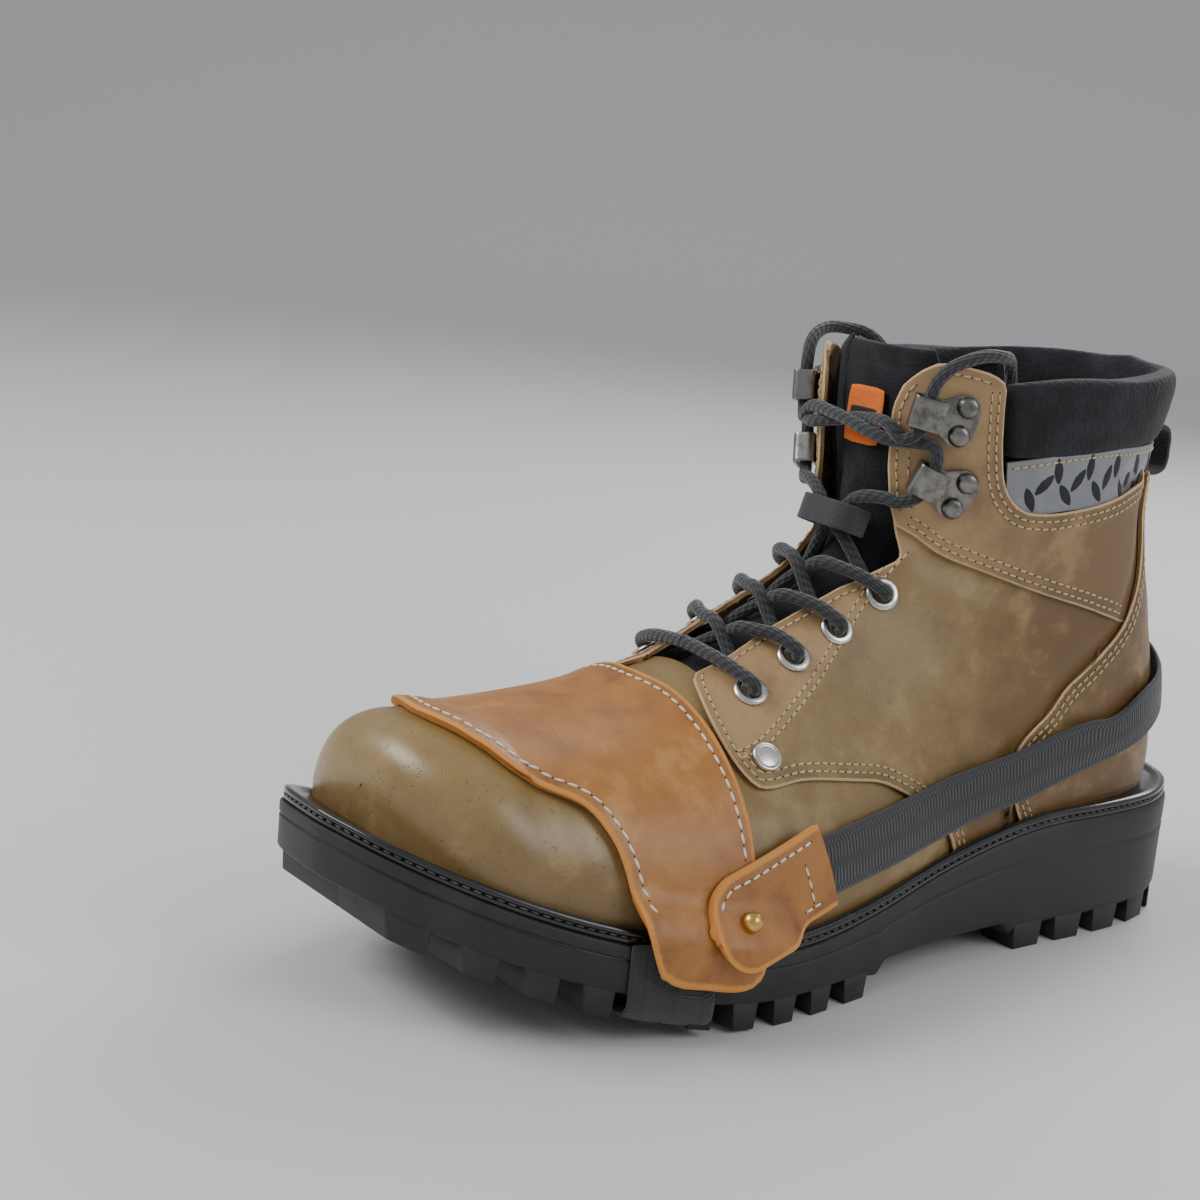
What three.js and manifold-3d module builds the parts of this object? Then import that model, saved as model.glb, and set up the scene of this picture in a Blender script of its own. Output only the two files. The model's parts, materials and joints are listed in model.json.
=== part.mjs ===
// A left steel toe work boot, laced up, with a strapped-on leather shift guard.
// Millimetres. +Z up, -Y towards the toe, +X towards the wearer's left (lateral) side.
import * as THREE from 'three';
import { mergeVertices } from 'three/addons/utils/BufferGeometryUtils.js';
import Module from 'manifold-3d';

const wasm = await Module();
wasm.setup();

// ---- overall sizes ----
const soleLength = 309; // tip of the outsole to the back of the heel
const ballWidth = 117.2; // outsole across the ball of the foot
const bootHeight = 174; // floor to the top of the collar

// ---- sole ----
const foreThickness = 20.5; // outsole under the ball, lugs included
const heelThickness = 37.9; // outsole under the heel, lugs included
const toeSpring = 27.7; // rise of the toe above the floor
const archRise = 9; // the waist's clearance above the floor
const lugDepth = 7;
const notchWidth = 5.5; // gap between neighbouring lugs
const forePitch = 14.3; // lug to lug under the forepart
const heelPitch = 18; // lug to lug under the heel
const lugReach = 14; // how far an edge lug runs in from the edge
const channelWidth = 3; // groove between edge lugs and centre blocks
const weltHeight = 3.7;
const weltInset = 1; // welt edge behind the outsole edge
const insoleThickness = 2;
const footbedThickness = 4;
const shankLength = 110;
const shankWidth = 18;
const shankThickness = 1.7;

// ---- upper: depths below the outer surface are negative ----
const leather = 2; // main upper leather
const capSteel = 1.8; // steel toe cap wall
const capLength = 46; // steel cap from the toe back
const counterWall = 1.6; // stiffener inside the heel
const liningWall = 1.2;
const tonguePad = 5.4; // tongue thickness
const tongueHalfWidth = 26;
const collarPad = 9; // padded collar, outside to inside
const collarProud = 1.2; // how far the padding stands proud of the leather
const tabLeather = 2.6; // strap tab
const guardLeather = 2.8;
const elastic = 1.6; // heel strap and underfoot band
const strapWidth = 15.5;
const tabWidth = 20;
const tabReach = 31; // stud to the tab's rear end
const bandWidth = 25;

// ---- hardware ----
const laceDiameter = 3.8;
const eyeletHole = 5.3;
const eyeletFlange = 9.8;
const eyeletWall = 0.45;
const hookPlate = 1; // sheet thickness of a lace hook
const hookWidth = 9;
const hookRivetHead = 6.3;
const hookRivetPitch = 8.5;
const vampRivetHead = 8.8;
const rivetShank = 2.8;
const studHead = 5.8;
const studNeck = 3.8;
const fingerLoopWidth = 20; // webbing loop at the heel

// ---- clearances ----
const gap = 0.3; // between pieces that touch on the real boot
const slip = 0.45; // round a lace, a shank or a post
const facetDip = 0.7; // how far a flat facet cuts inside the true curve

// ---- the last: heights are measured up from the top of the sole ----
const patternLength = 309;
const patternWidth = 117.2;
const patternUpper = 136.1;
const lengthwise = soleLength / patternLength;
const widthwise = ballWidth / patternWidth;
const upwards = (bootHeight - heelThickness) / patternUpper;

// each row is a slice through the boot: its front or top point, its back or bottom point,
// half width, where the widest place lies, squareness above and below it, and ridge offset
const slices = [
  [-112, 39.5, -112, -17.5, 45, 0.62, 2.3, 3.4, 0],
  [-88, 47, -88, -17.5, 51, 0.62, 2.2, 3.4, 1.5],
  [-62, 56, -60, -19, 54, 0.62, 2.0, 3.4, 3],
  [-42, 66.5, -30, -19, 52, 0.64, 1.9, 3.4, 4],
  [-24, 76.5, 8, -22, 46.5, 0.66, 1.85, 3.1, 3.6],
  [-8, 84.5, 50, -26.5, 41, 0.66, 1.85, 2.8, 2.4],
  [3, 91.5, 98, -24, 39.2, 0.66, 1.9, 2.7, 1],
  [8.5, 103.5, 137, -8, 38.5, 0.64, 2.0, 2.5, 0],
  [10, 115.5, 141, 20, 38.5, 0.58, 2.1, 2.4, 0],
  [10.5, 125.5, 134, 54, 39, 0.54, 2.2, 2.3, 0],
  [11, 136, 125.5, 86, 40, 0.5, 2.2, 2.2, 0],
  [12, 147, 127, 114, 41, 0.5, 2.2, 2.2, 0],
  [13, 158, 132.5, 138, 42, 0.5, 2.2, 2.2, 0],
  [14, 172, 133, 165, 42, 0.5, 2.2, 2.2, 0],
];
const toePole = [-142, 12.5];
const ridgeAtToe = -6; // the toe turns in towards the big toe
const domeRoundness = 2.5;

// outsole outline: distance along the boot, lateral and medial half widths
const soleOutline = [
  [-155.6, 0, 0], [-153.5, 9, 19], [-146.5, 24, 31], [-133, 38, 41], [-112.5, 49.5, 49.5],
  [-87, 57.5, 54.5], [-61.5, 61.6, 55.6], [-36, 60.6, 53], [-5, 55, 47.5], [25.5, 48.5, 42.5],
  [61.5, 44.8, 41.4], [97, 43.4, 41.4], [123, 39.4, 38.4], [141.5, 29, 29], [150, 16, 16],
  [153.4, 0, 0],
];

const smooth = (t) => {
  const u = Math.min(Math.max(t, 0), 1);
  return u * u * (3 - 2 * u);
};
const springAt = (y) => toeSpring * Math.max((-40 * lengthwise - y) / (110 * lengthwise), 0) ** 1.8;
const heelRise = (y) => smooth((y / lengthwise + 40) / 125);
function soleTopAt(y) {
  return foreThickness + (heelThickness - foreThickness) * heelRise(y) + springAt(y);
}
// a side-view point of the pattern, as real y and z
function sidePoint(y, height) {
  const realY = y * lengthwise;
  return new THREE.Vector2(realY, soleTopAt(realY) + height * upwards);
}

function sliceAt(s) {
  const t = Math.min(Math.max(s - 1, 0), slices.length - 1.0001);
  const i = Math.floor(t);
  const f = t - i;
  const row = (k) => slices[Math.min(Math.max(k, 0), slices.length - 1)];
  const [a, b, c, d] = [row(i - 1), row(i), row(i + 1), row(i + 2)];
  const mix = b.map((_, k) => 0.5 * (2 * b[k] + (c[k] - a[k]) * f
    + (2 * a[k] - 5 * b[k] + 4 * c[k] - d[k]) * f * f + (3 * b[k] - a[k] - 3 * c[k] + d[k]) * f ** 3));
  if (s < 1) {
    const open = Math.sin(s * Math.PI / 2) ** (2 / domeRoundness);
    const along = 1 - Math.cos(s * Math.PI / 2);
    mix[0] = toePole[0] + (mix[0] - toePole[0]) * along;
    mix[2] = mix[0];
    mix[1] = toePole[1] + (mix[1] - toePole[1]) * open;
    mix[3] = toePole[1] + (mix[3] - toePole[1]) * open;
    mix[4] *= open;
    mix[8] = ridgeAtToe * (1 - along);
  }
  return mix;
}

// a point of the upper's outer surface: s runs from the toe to the collar, and phi from the
// ridge (0) round to the sole (pi), positive on the lateral side
function onLast(s, phi) {
  const [topY, topH, lowY, lowH, half, widest, above, below, ridge] = sliceAt(s);
  const turn = Math.abs(phi);
  const c = Math.abs(Math.cos(turn));
  const n = Math.abs(Math.sin(turn));
  const upper = turn <= Math.PI / 2;
  const v = upper ? widest * (1 - c ** (2 / above)) : widest + (1 - widest) * c ** (2 / below);
  const g = n ** (2 / (upper ? above : below));
  const side = Math.sign(phi) || 1;
  const x = ridge * Math.min(1, v / widest) + side * half * g;
  const p = sidePoint(topY + (lowY - topY) * v, topH + (lowH - topH) * v);
  return new THREE.Vector3(x * widthwise, p.x, p.y);
}

function normalAt(s, phi) {
  if (s < 0.02) return new THREE.Vector3(0, -1, 0);
  const e = 0.01;
  const turn = Math.min(Math.max(Math.abs(phi), e), Math.PI - e);
  const side = Math.sign(phi) || 1;
  const alongS = onLast(s + e, side * turn).sub(onLast(Math.max(s - e, 0), side * turn));
  const alongPhi = onLast(s, side * (turn + e)).sub(onLast(s, side * (turn - e)));
  const n = alongPhi.cross(alongS).normalize().multiplyScalar(side);
  if (Math.abs(phi) < e || Math.abs(phi) > Math.PI - e) n.x = 0;
  return n.normalize();
}
const above = (s, phi, depth) => onLast(s, phi).addScaledVector(normalAt(s, phi), depth);

// the guard swells out over the welt: extra depth near the sole, round the ball of the foot
const soleOverhang = elastic + 4 * gap;
function flareAt(point) {
  const y = point.y / lengthwise;
  const height = point.z - soleTopAt(point.y);
  const along = smooth((y + 104) / 12) * smooth((-38 - y) / 12);
  const low = smooth((weltHeight + 11 - height) / 10);
  const reach = halfWidthAt(point.y, Math.sign(point.x)) + soleOverhang - Math.abs(point.x);
  return Math.max(reach, 0) * along * low;
}

// ---- solids ----
function solidOf(geometry) {
  const g = geometry.index ? geometry : mergeVertices(geometry);
  g.deleteAttribute('normal');
  g.deleteAttribute('uv');
  const merged = mergeVertices(g, 1e-4);
  return new wasm.Manifold(new wasm.Mesh({
    numProp: 3,
    vertProperties: Float32Array.from(merged.attributes.position.array),
    triVerts: Uint32Array.from(merged.index.array),
  }));
}

function geometryOf(solid) {
  const mesh = solid.getMesh();
  const g = new THREE.BufferGeometry();
  g.setAttribute('position', new THREE.BufferAttribute(mesh.vertProperties, 3));
  g.setIndex(new THREE.BufferAttribute(mesh.triVerts, 1));
  return g;
}

// closed solid inside the last's surface moved out by a depth, on rows and columns of the last
const columns = 8;
const rowStep = 0.7;
function skin(depth, flared = false) {
  const rows = [0.12, 0.28, 0.5, 0.75];
  for (let s = 1; s <= slices.length - 0.001; s += rowStep) rows.push(s);
  const ring = [];
  for (let k = 0; k <= columns; k += 1) ring.push(Math.PI * k / columns);
  for (let k = columns - 1; k > 0; k -= 1) ring.push(-Math.PI * k / columns);
  const points = [above(0, 0, depth)];
  rows.forEach((s) => ring.forEach((phi) => {
    const extra = flared ? flareAt(onLast(s, phi)) : 0;
    points.push(above(s, phi, depth + extra));
  }));
  const lid = new THREE.Vector3();
  const first = points.length - ring.length;
  for (let k = 0; k < ring.length; k += 1) lid.addScaledVector(points[first + k], 1 / ring.length);
  points.push(lid);
  const faces = [];
  const at = (row, k) => 1 + row * ring.length + k % ring.length;
  for (let k = 0; k < ring.length; k += 1) {
    faces.push(0, at(0, k + 1), at(0, k));
    for (let row = 0; row + 1 < rows.length; row += 1) {
      faces.push(at(row, k), at(row, k + 1), at(row + 1, k));
      faces.push(at(row, k + 1), at(row + 1, k + 1), at(row + 1, k));
    }
    faces.push(at(rows.length - 1, k), at(rows.length - 1, k + 1), points.length - 1);
  }
  const g = new THREE.BufferGeometry().setFromPoints(points);
  g.setIndex(faces);
  return solidOf(g);
}

// a shell of the last between two depths
const shell = (inner, outer) => skin(outer).subtract(skin(inner));

// side-view outline, extruded across the boot between two x places
function across(outline, from = -90, to = 90) {
  const g = new THREE.ExtrudeGeometry(new THREE.Shape(outline), { depth: to - from, bevelEnabled: false });
  g.translate(0, 0, from);
  const turn = new THREE.Matrix4().makeBasis(
    new THREE.Vector3(0, 1, 0), new THREE.Vector3(0, 0, 1), new THREE.Vector3(1, 0, 0));
  return solidOf(g.applyMatrix4(turn));
}
const lateralHalf = (outline) => across(outline, 0.15, 90);
const medialHalf = (outline) => across(outline, -90, -0.15);

// a smooth line through pattern points in the side view
const perSpan = 2;
function line(points) {
  const curve = new THREE.SplineCurve(points.map(([y, h]) => sidePoint(y, h)));
  return curve.getPoints((points.length - 1) * perSpan);
}
const corner = (y, h) => [sidePoint(y, h)];
const reversed = (points) => [...points].reverse();
const moved = (points, dy, dz) => points.map((p) => new THREE.Vector2(p.x + dy, p.y + dz));
// a line shifted square to its own run, to the right of it
function aside(points, distance) {
  return points.map((p, k) => {
    const run = points[Math.min(k + 1, points.length - 1)].clone().sub(points[Math.max(k - 1, 0)]).normalize();
    return new THREE.Vector2(p.x + run.y * distance, p.y - run.x * distance);
  });
}

// ---- sole outline ----
const soleLoop = new THREE.CatmullRomCurve3([
  ...soleOutline.map(([y, lateral]) => new THREE.Vector3(lateral * widthwise, y * lengthwise, 0)),
  ...reversed(soleOutline.slice(1, -1))
    .map(([y, , medial]) => new THREE.Vector3(-medial * widthwise, y * lengthwise, 0)),
], true, 'centripetal');

function outlinePoints(inset, count = 60) {
  const points = [];
  for (let k = 0; k < count; k += 1) {
    const p = soleLoop.getPointAt(k / count);
    const t = soleLoop.getTangentAt(k / count);
    points.push(new THREE.Vector2(p.x - t.y * inset, p.y + t.x * inset));
  }
  return points;
}

function halfWidthAt(y, side) {
  const column = side > 0 ? 1 : 2;
  const at = y / lengthwise;
  const i = Math.max(soleOutline.findIndex((row) => row[0] >= at), 1);
  const [a, b] = [soleOutline[i - 1], soleOutline[i]];
  const f = Math.min(Math.max((at - a[0]) / (b[0] - a[0]), 0), 1);
  return (a[column] + (b[column] - a[column]) * f) * widthwise;
}

function plate(points, low, high) {
  const g = new THREE.ExtrudeGeometry(new THREE.Shape(points), { depth: high - low, bevelEnabled: false });
  return solidOf(g.translate(0, 0, low));
}

// side-view band between two height functions, for trimming to the sole's curve
function between(lowAt, highAt, from = -160 * lengthwise, to = 160 * lengthwise, count = 30) {
  const low = [];
  const high = [];
  for (let k = 0; k <= count; k += 1) {
    const y = from + (to - from) * k / count;
    low.push(new THREE.Vector2(y, lowAt(y)));
    high.push(new THREE.Vector2(y, highAt(y)));
  }
  return across([...low, ...reversed(high)]);
}
const aboveSole = (rise) => between((y) => soleTopAt(y) + rise, () => bootHeight + 60);

function box(x0, x1, y0, y1, z0, z1) {
  const g = new THREE.BoxGeometry(x1 - x0, y1 - y0, z1 - z0);
  return solidOf(g.translate((x0 + x1) / 2, (y0 + y1) / 2, (z0 + z1) / 2));
}

// ---- the assembly ----
const boot = new THREE.Group();
const anchored = []; // every mesh but the free lace ends

function finish(color, roughness, metalness = 0) {
  return new THREE.MeshStandardMaterial({ color, roughness, metalness });
}
const oliveLeather = finish(0x8a6f3c, 0.62);
const tanLeather = finish(0xa58a5e, 0.66);
const guardHide = finish(0x9c5a1e, 0.5);
const rubber = finish(0x1b1b1d, 0.62);
const weltRubber = finish(0x121214, 0.3);
const blackTextile = finish(0x17171b, 0.9);
const greyReflective = finish(0x8f9096, 0.45);
const orangeCloth = finish(0xd8521e, 0.75);
const innerBoard = finish(0x9b8361, 0.85);
const steel = finish(0xb4b8bc, 0.35, 0.9);
const gunmetal = finish(0x5c5a52, 0.4, 0.85);
const brass = finish(0xc9a24a, 0.28, 0.9);

function add(name, solid, material) {
  const mesh = new THREE.Mesh(solid.isBufferGeometry ? solid : geometryOf(solid), material);
  mesh.name = name;
  boot.add(mesh);
  anchored.push(mesh);
  return mesh;
}

// ---- outsole: side profile through the outline, lugs cut from below ----
const forePartEnd = -8 * lengthwise;
const heelBreast = 61 * lengthwise;
function soleBottomAt(y) {
  if (y < forePartEnd) return springAt(y);
  const up = smooth((y - forePartEnd) / 9);
  const down = smooth((heelBreast - y) / 5);
  return archRise * up * down;
}
const bandCentre = -80 * lengthwise;
const bandGroove = elastic + gap + 0.4;

function outsole() {
  let body = plate(outlinePoints(0, 44), -1, bootHeight)
    .intersect(between(soleBottomAt, soleTopAt, -160 * lengthwise, 160 * lengthwise, 56));
  const notchTop = (y) => springAt(y) + lugDepth;
  const centres = [];
  for (let y = -149 * lengthwise; y < forePartEnd - notchWidth; y += forePitch) centres.push(y);
  for (let y = heelBreast + heelPitch * 0.9; y < 138 * lengthwise; y += heelPitch) centres.push(y);
  centres.forEach((y) => {
    [-1, 1].forEach((side) => {
      const edge = halfWidthAt(y, side);
      const from = side * Math.max(edge - lugReach, 4);
      const to = side * (edge + 12);
      body = body.subtract(box(Math.min(from, to), Math.max(from, to),
        y - notchWidth / 2, y + notchWidth / 2, -5, notchTop(y)));
    });
    const middle = y + forePitch / 2;
    const reach = Math.min(halfWidthAt(middle, 1), halfWidthAt(middle, -1)) - lugReach - channelWidth;
    if (reach > 8 && (middle < forePartEnd - notchWidth || y > 0)) {
      body = body.subtract(box(-reach - 1, reach + 1,
        middle - notchWidth / 2, middle + notchWidth / 2, -5, notchTop(middle) - 2));
    }
  });
  const channel = plate(outlinePoints(lugReach, 36), -5, 60)
    .subtract(plate(outlinePoints(lugReach + channelWidth, 36), -6, 61))
    .intersect(between(() => -5, (y) => springAt(y) + lugDepth - 2));
  body = body.subtract(channel.intersect(box(-80, 80, -140 * lengthwise, forePartEnd - 4, -6, 60)));
  body = body.subtract(channel.intersect(box(-80, 80, heelBreast + 5, 142 * lengthwise, -6, 60)));
  const groove = between(() => -5, (y) => springAt(y) + bandGroove,
    bandCentre - bandWidth / 2 - 1, bandCentre + bandWidth / 2 + 1, 6);
  const pocket = shankPlate(gap, -shankThickness - 2 * gap, 1);
  return body.subtract(groove).subtract(pocket);
}

// the shank runs from under the heel to the ball, let into the top of the outsole
function shankPlate(grow, low, high) {
  const middle = 20 * lengthwise;
  const half = shankLength / 2;
  const end = shankWidth / 2;
  const outline = [];
  [[middle + half - end, 0], [middle - half + end, Math.PI]].forEach(([centre, start]) => {
    for (let k = 0; k <= 6; k += 1) {
      const a = start + Math.PI * k / 6;
      outline.push(new THREE.Vector2(Math.cos(a) * (end + grow), centre + Math.sin(a) * (end + grow)));
    }
  });
  return plate(outline, -1, bootHeight)
    .intersect(between((y) => soleTopAt(y) + low, (y) => soleTopAt(y) + high));
}

add('outsole', outsole(), rubber);
add('steel_shank', shankPlate(0, -shankThickness - gap, -gap), steel);
add('welt', plate(outlinePoints(weltInset, 44), -1, bootHeight)
  .intersect(between((y) => soleTopAt(y) + gap, (y) => soleTopAt(y) + weltHeight))
  .subtract(skin(gap)), weltRubber);

// ---- layers of the upper ----
const liningInner = -leather - 2 * gap - capSteel - liningWall;
const liningOuter = liningInner + liningWall;
const insideFoot = skin(liningInner - gap);
add('insole_board', insideFoot.intersect(between(
  (y) => soleTopAt(y) + gap, (y) => soleTopAt(y) + gap + insoleThickness)), innerBoard);
add('footbed', insideFoot.intersect(between(
  (y) => soleTopAt(y) + 2 * gap + insoleThickness,
  (y) => soleTopAt(y) + 2 * gap + insoleThickness + footbedThickness)), blackTextile);

// throat: the lacing gap, a strip along the ridge, wider at the notch and at the top
const throatWidths = [
  [3.9, 11], [4.3, 12], [5.2, 12], [6.0, 13], [6.6, 14], [7.2, 17], [7.7, 20.5], [8.05, 18],
  [8.5, 16], [9.2, 15], [10.8, 15], [11.4, 17], [11.8, 21], [12.1, 27], [12.5, 34], [13.6, 40],
];
function throat(widen, front = 3.9, deep = -14) {
  const points = [];
  throatWidths.forEach(([s, half], k) => {
    const at = k === 0 ? front : s;
    const reach = (half + widen) * widthwise;
    const centre = onLast(at, 0);
    const n = normalAt(at, 0);
    [[-1, deep], [1, deep], [1, 12], [-1, 12]].forEach(([side, depth]) => {
      const p = centre.clone().addScaledVector(n, depth);
      points.push(new THREE.Vector3(p.x + side * reach, p.y, p.z));
    });
  });
  const faces = [0, 1, 2, 0, 2, 3];
  const last = points.length - 4;
  faces.push(last, last + 2, last + 1, last, last + 3, last + 2);
  for (let k = 0; k < last; k += 4) {
    for (let e = 0; e < 4; e += 1) {
      const n = (e + 1) % 4;
      faces.push(k + e, k + 4 + e, k + n, k + n, k + 4 + e, k + 4 + n);
    }
  }
  const g = new THREE.BufferGeometry().setFromPoints(points);
  g.setIndex(faces);
  return solidOf(g);
}
const throatCut = throat(0);

// seam lines of the side view, from the toe end to the heel end
const quarterLow = line([[-33, 84], [-41, 68], [-47, 61], [-50, 54], [-50, 47], [-46.5, 41.5], [-41, 40.5],
  [-29, 41], [-11, 37], [1, 33], [12, 26], [21, 19], [29, 10], [33, 0], [35, -26]]);
const ankleSeam = line([[12.5, 103], [15, 99.5], [22, 94.5], [30, 87.5], [43, 80.5], [61, 72], [81, 65], [99, 59.5]]);
const counterSeam = line([[68, -26], [65, -4], [59, 8], [56, 18], [59, 27], [70, 34], [77, 41], [88, 49],
  [99, 59.5], [105, 71], [109, 85], [112, 104]]);
const seamsMeet = 8 * perSpan; // where the counter seam reaches the ankle seam
const collarMeets = 2 * perSpan; // where the panel's rear edge reaches the collar
const panelTop = line([[4, 150], [11, 146], [18, 145.5], [27, 143], [34, 140], [38, 136.5]]);
const panelRear = line([[38, 136.5], [38.5, 127], [40.5, 115], [44, 105], [50, 98.5], [58, 96.2], [70, 96],
  [85, 98], [97, 101], [112, 104]]);
const collarLow = line([[42.5, 113.2], [62, 110.5], [89, 111], [112, 112], [160, 112]]);

const quarterOutline = [
  ...quarterLow,
  ...moved(counterSeam.slice(0, seamsMeet + 1), -gap, 0),
  ...reversed(moved(ankleSeam, 0, -gap)).slice(1, -perSpan - 1),
  ...corner(17, 88.5), ...corner(8, 88), ...corner(-10, 99),
];
const shaftOutline = [
  ...ankleSeam,
  ...moved(counterSeam.slice(seamsMeet), -gap, 0).slice(1),
  ...reversed(panelRear).slice(1, -1),
  ...reversed(panelTop),
];
const counterOutline = [
  ...reversed(counterSeam),
  ...corner(170, -26), ...corner(170, 104),
];
const vampOutline = [
  ...corner(-170, -30), ...reversed(aside(quarterLow, gap)), ...corner(-33, 110), ...corner(-170, 110),
];

const mainLayer = shell(-leather, 0).intersect(aboveSole(gap));
const laced = mainLayer.subtract(throatCut);
add('vamp', laced.intersect(across(vampOutline)), oliveLeather);

// fastener places on the last: slice, angle round from the ridge
const eyeletPlaces = [[4.3, 0.52], [5.14, 0.52], [5.98, 0.55], [7.02, 0.57]];
const hookPlaces = [[9.4, 0.72], [10.92, 0.71]];
const vampRivetPlace = [3.98, 0.84];
const studPlace = [2.98, 1.54];

// local frame on the last: x leads away from the ridge, z points out of the leather
function placeOn(s, phi, depth = 0) {
  const e = 0.01;
  const z = normalAt(s, phi);
  const x = onLast(s, phi + e * Math.sign(phi)).sub(onLast(s, phi)).normalize();
  const y = z.clone().cross(x).normalize();
  x.copy(y).cross(z);
  const m = new THREE.Matrix4().makeBasis(x, y, z);
  return m.setPosition(onLast(s, phi).addScaledVector(z, depth));
}
const turned = (profile, sides = 12) => new THREE.LatheGeometry(
  profile.map(([r, h]) => new THREE.Vector2(r, h)), sides).rotateX(Math.PI / 2);
const rod = (radius, low, high, sides = 12) => turned([[0, low], [radius, low], [radius, high], [0, high]], sides);
const sides = [['lateral', 1], ['medial', -1]];

// plain lathe about z, placed on the last
function fitted(geometry, s, phi, depth = 0) {
  return solidOf(geometry.applyMatrix4(placeOn(s, phi, depth)));
}
const bored = (solid, radius, s, phi) => solid.subtract(fitted(rod(radius, -9, 9), s, phi));

function hookHoles(solid, side) {
  let out = solid;
  hookPlaces.forEach(([s, phi]) => {
    [-1, 1].forEach((end) => {
      const hole = rod(rivetShank / 2 + gap, -9, 9);
      hole.translate(hookRivetU, end * hookRivetPitch / 2, 0);
      out = out.subtract(solidOf(hole.applyMatrix4(placeOn(s, phi * side))));
    });
  });
  return out;
}
const hookRivetU = 5; // rivets stand at the rear of the plate
const hookNeckU = -9.5; // the fold stands towards the throat
const hookSlotU = -6; // where the lace lies in the fold

sides.forEach(([name, side]) => {
  const half = side > 0 ? lateralHalf : medialHalf;
  let quarter = laced.intersect(half(quarterOutline));
  eyeletPlaces.forEach(([s, phi]) => {
    quarter = bored(quarter, eyeletHole / 2 + eyeletWall + gap, s, phi * side);
  });
  quarter = bored(quarter, rivetShank / 2 + gap, vampRivetPlace[0], vampRivetPlace[1] * side);
  add(`quarter_${name}`, quarter, tanLeather);
  add(`hook_panel_${name}`, hookHoles(laced.intersect(half(shaftOutline)), side), tanLeather);
});
add('heel_counter_cover', mainLayer.intersect(across(counterOutline)), oliveLeather);

// reflective band and padded collar round the back of the shaft
const bandOutline = [...panelRear.slice(collarMeets + 1), ...corner(170, 104), ...reversed(collarLow)];
add('collar_band', shell(-leather, -0.4).intersect(across(moved(bandOutline, gap, gap))), greyReflective);
const collarTop = line([[38.5, 137], [60, 136], [90, 134.5], [120, 135.5], [165, 136]]);
const collarOutline = [
  ...moved(panelRear.slice(0, collarMeets + 1), 2 * gap, 0),
  ...moved(collarLow, 2 * gap, 3 * gap).slice(1), ...reversed(collarTop),
];
add('collar_pad', shell(collarProud - collarPad, collarProud).intersect(across(collarOutline)), blackTextile);

// inner pieces: steel toe cap, heel stiffener, lining
const capOuter = -leather - gap;
add('steel_toe_cap', shell(capOuter - capSteel, capOuter)
  .intersect(aboveSole(2 * gap))
  .intersect(box(-80, 80, -170 * lengthwise, toePole[0] * lengthwise + capLength, 0, 120)), steel);
const stiffenerOutline = [...corner(64, -20), ...corner(170, -20), ...corner(170, 52), ...line([[112, 50], [84, 34], [66, 12]])];
add('heel_stiffener', shell(capOuter - counterWall, capOuter)
  .intersect(aboveSole(2 * gap)).intersect(across(stiffenerOutline)), innerBoard);
const liningOutline = [
  ...corner(-170, -20), ...corner(170, -20), ...corner(170, 111), ...corner(89, 110), ...corner(62, 109.5),
  ...corner(39.5, 113), ...corner(36.5, 135), ...corner(-10, 150), ...corner(-170, 150)];
add('lining', shell(liningInner, liningOuter)
  .intersect(aboveSole(2 * gap))
  .intersect(across(liningOutline))
  .subtract(throat(17, 3.7, -30)), blackTextile);

// ---- tongue, in two leaves that hinge where the padding folds ----
const strandStep = laceDiameter + 0.4; // from one crossing strand's middle to the other's
const keeperCrossings = [-0.2, -0.2 - strandStep]; // centre depths of the strands inside the keeper
const underLace = keeperCrossings[1] - laceDiameter / 2;
const tongueOuter = Math.min(liningInner - facetDip, underLace) - 3 * gap;
const tongueFold = 8.75; // slice where the upper leaf bends back
const tongueBase = 3.55;
const tongueTip = 12.35;
const foldGap = 2;
function tongueLeaf(from, to) {
  const layer = shell(tongueOuter - tonguePad, tongueOuter);
  const points = [];
  const count = 14;
  for (let k = 0; k <= count; k += 1) {
    const s = from + (to - from) * k / count;
    const reach = tongueHalfWidth * widthwise * (0.8 + 0.2 * smooth((s - tongueBase) / 2));
    const centre = onLast(s, 0);
    const n = normalAt(s, 0);
    [[-1, -24], [1, -24], [1, -1], [-1, -1]].forEach(([side, depth]) => {
      const p = centre.clone().addScaledVector(n, depth);
      points.push(new THREE.Vector3(p.x + side * reach, p.y, p.z));
    });
  }
  const faces = [0, 1, 2, 0, 2, 3];
  const last = points.length - 4;
  faces.push(last, last + 2, last + 1, last, last + 3, last + 2);
  for (let k = 0; k < last; k += 4) {
    for (let e = 0; e < 4; e += 1) {
      const n = (e + 1) % 4;
      faces.push(k + e, k + 4 + e, k + n, k + n, k + 4 + e, k + 4 + n);
    }
  }
  const g = new THREE.BufferGeometry().setFromPoints(points);
  g.setIndex(faces);
  return layer.intersect(solidOf(g));
}
const foldHalf = foldGap / 2 / 12; // half the fold's gap, in slices
add('tongue_lower', tongueLeaf(tongueBase, tongueFold - foldHalf), blackTextile);
add('tongue_upper', tongueLeaf(tongueFold + foldHalf, tongueTip), blackTextile);

// a small cloth patch on the upper leaf
const patch = new THREE.BoxGeometry(15, 17, 0.8);
patch.translate(0, 0, 0.4);
add('tongue_patch', fitted(patch, 10.3, 0.001, tongueOuter + gap), orangeCloth);

// ---- eyelets, hooks and rivets ----
const barrel = eyeletHole / 2 + eyeletWall;
const flangeTop = 1.3;
const eyeletProfile = [
  [eyeletHole / 2, -leather - gap], [barrel, -leather - gap], [barrel, gap], [eyeletFlange / 2, gap],
  [eyeletFlange / 2, gap + 0.4], [eyeletFlange / 2 - 0.8, flangeTop], [eyeletHole / 2 + 0.4, flangeTop],
  [eyeletHole / 2, flangeTop - 0.4], [eyeletHole / 2, -leather - gap]];
const plateTop = gap + hookPlate;
const slotRise = laceDiameter + 2 * slip; // room for the lace under the fold

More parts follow.
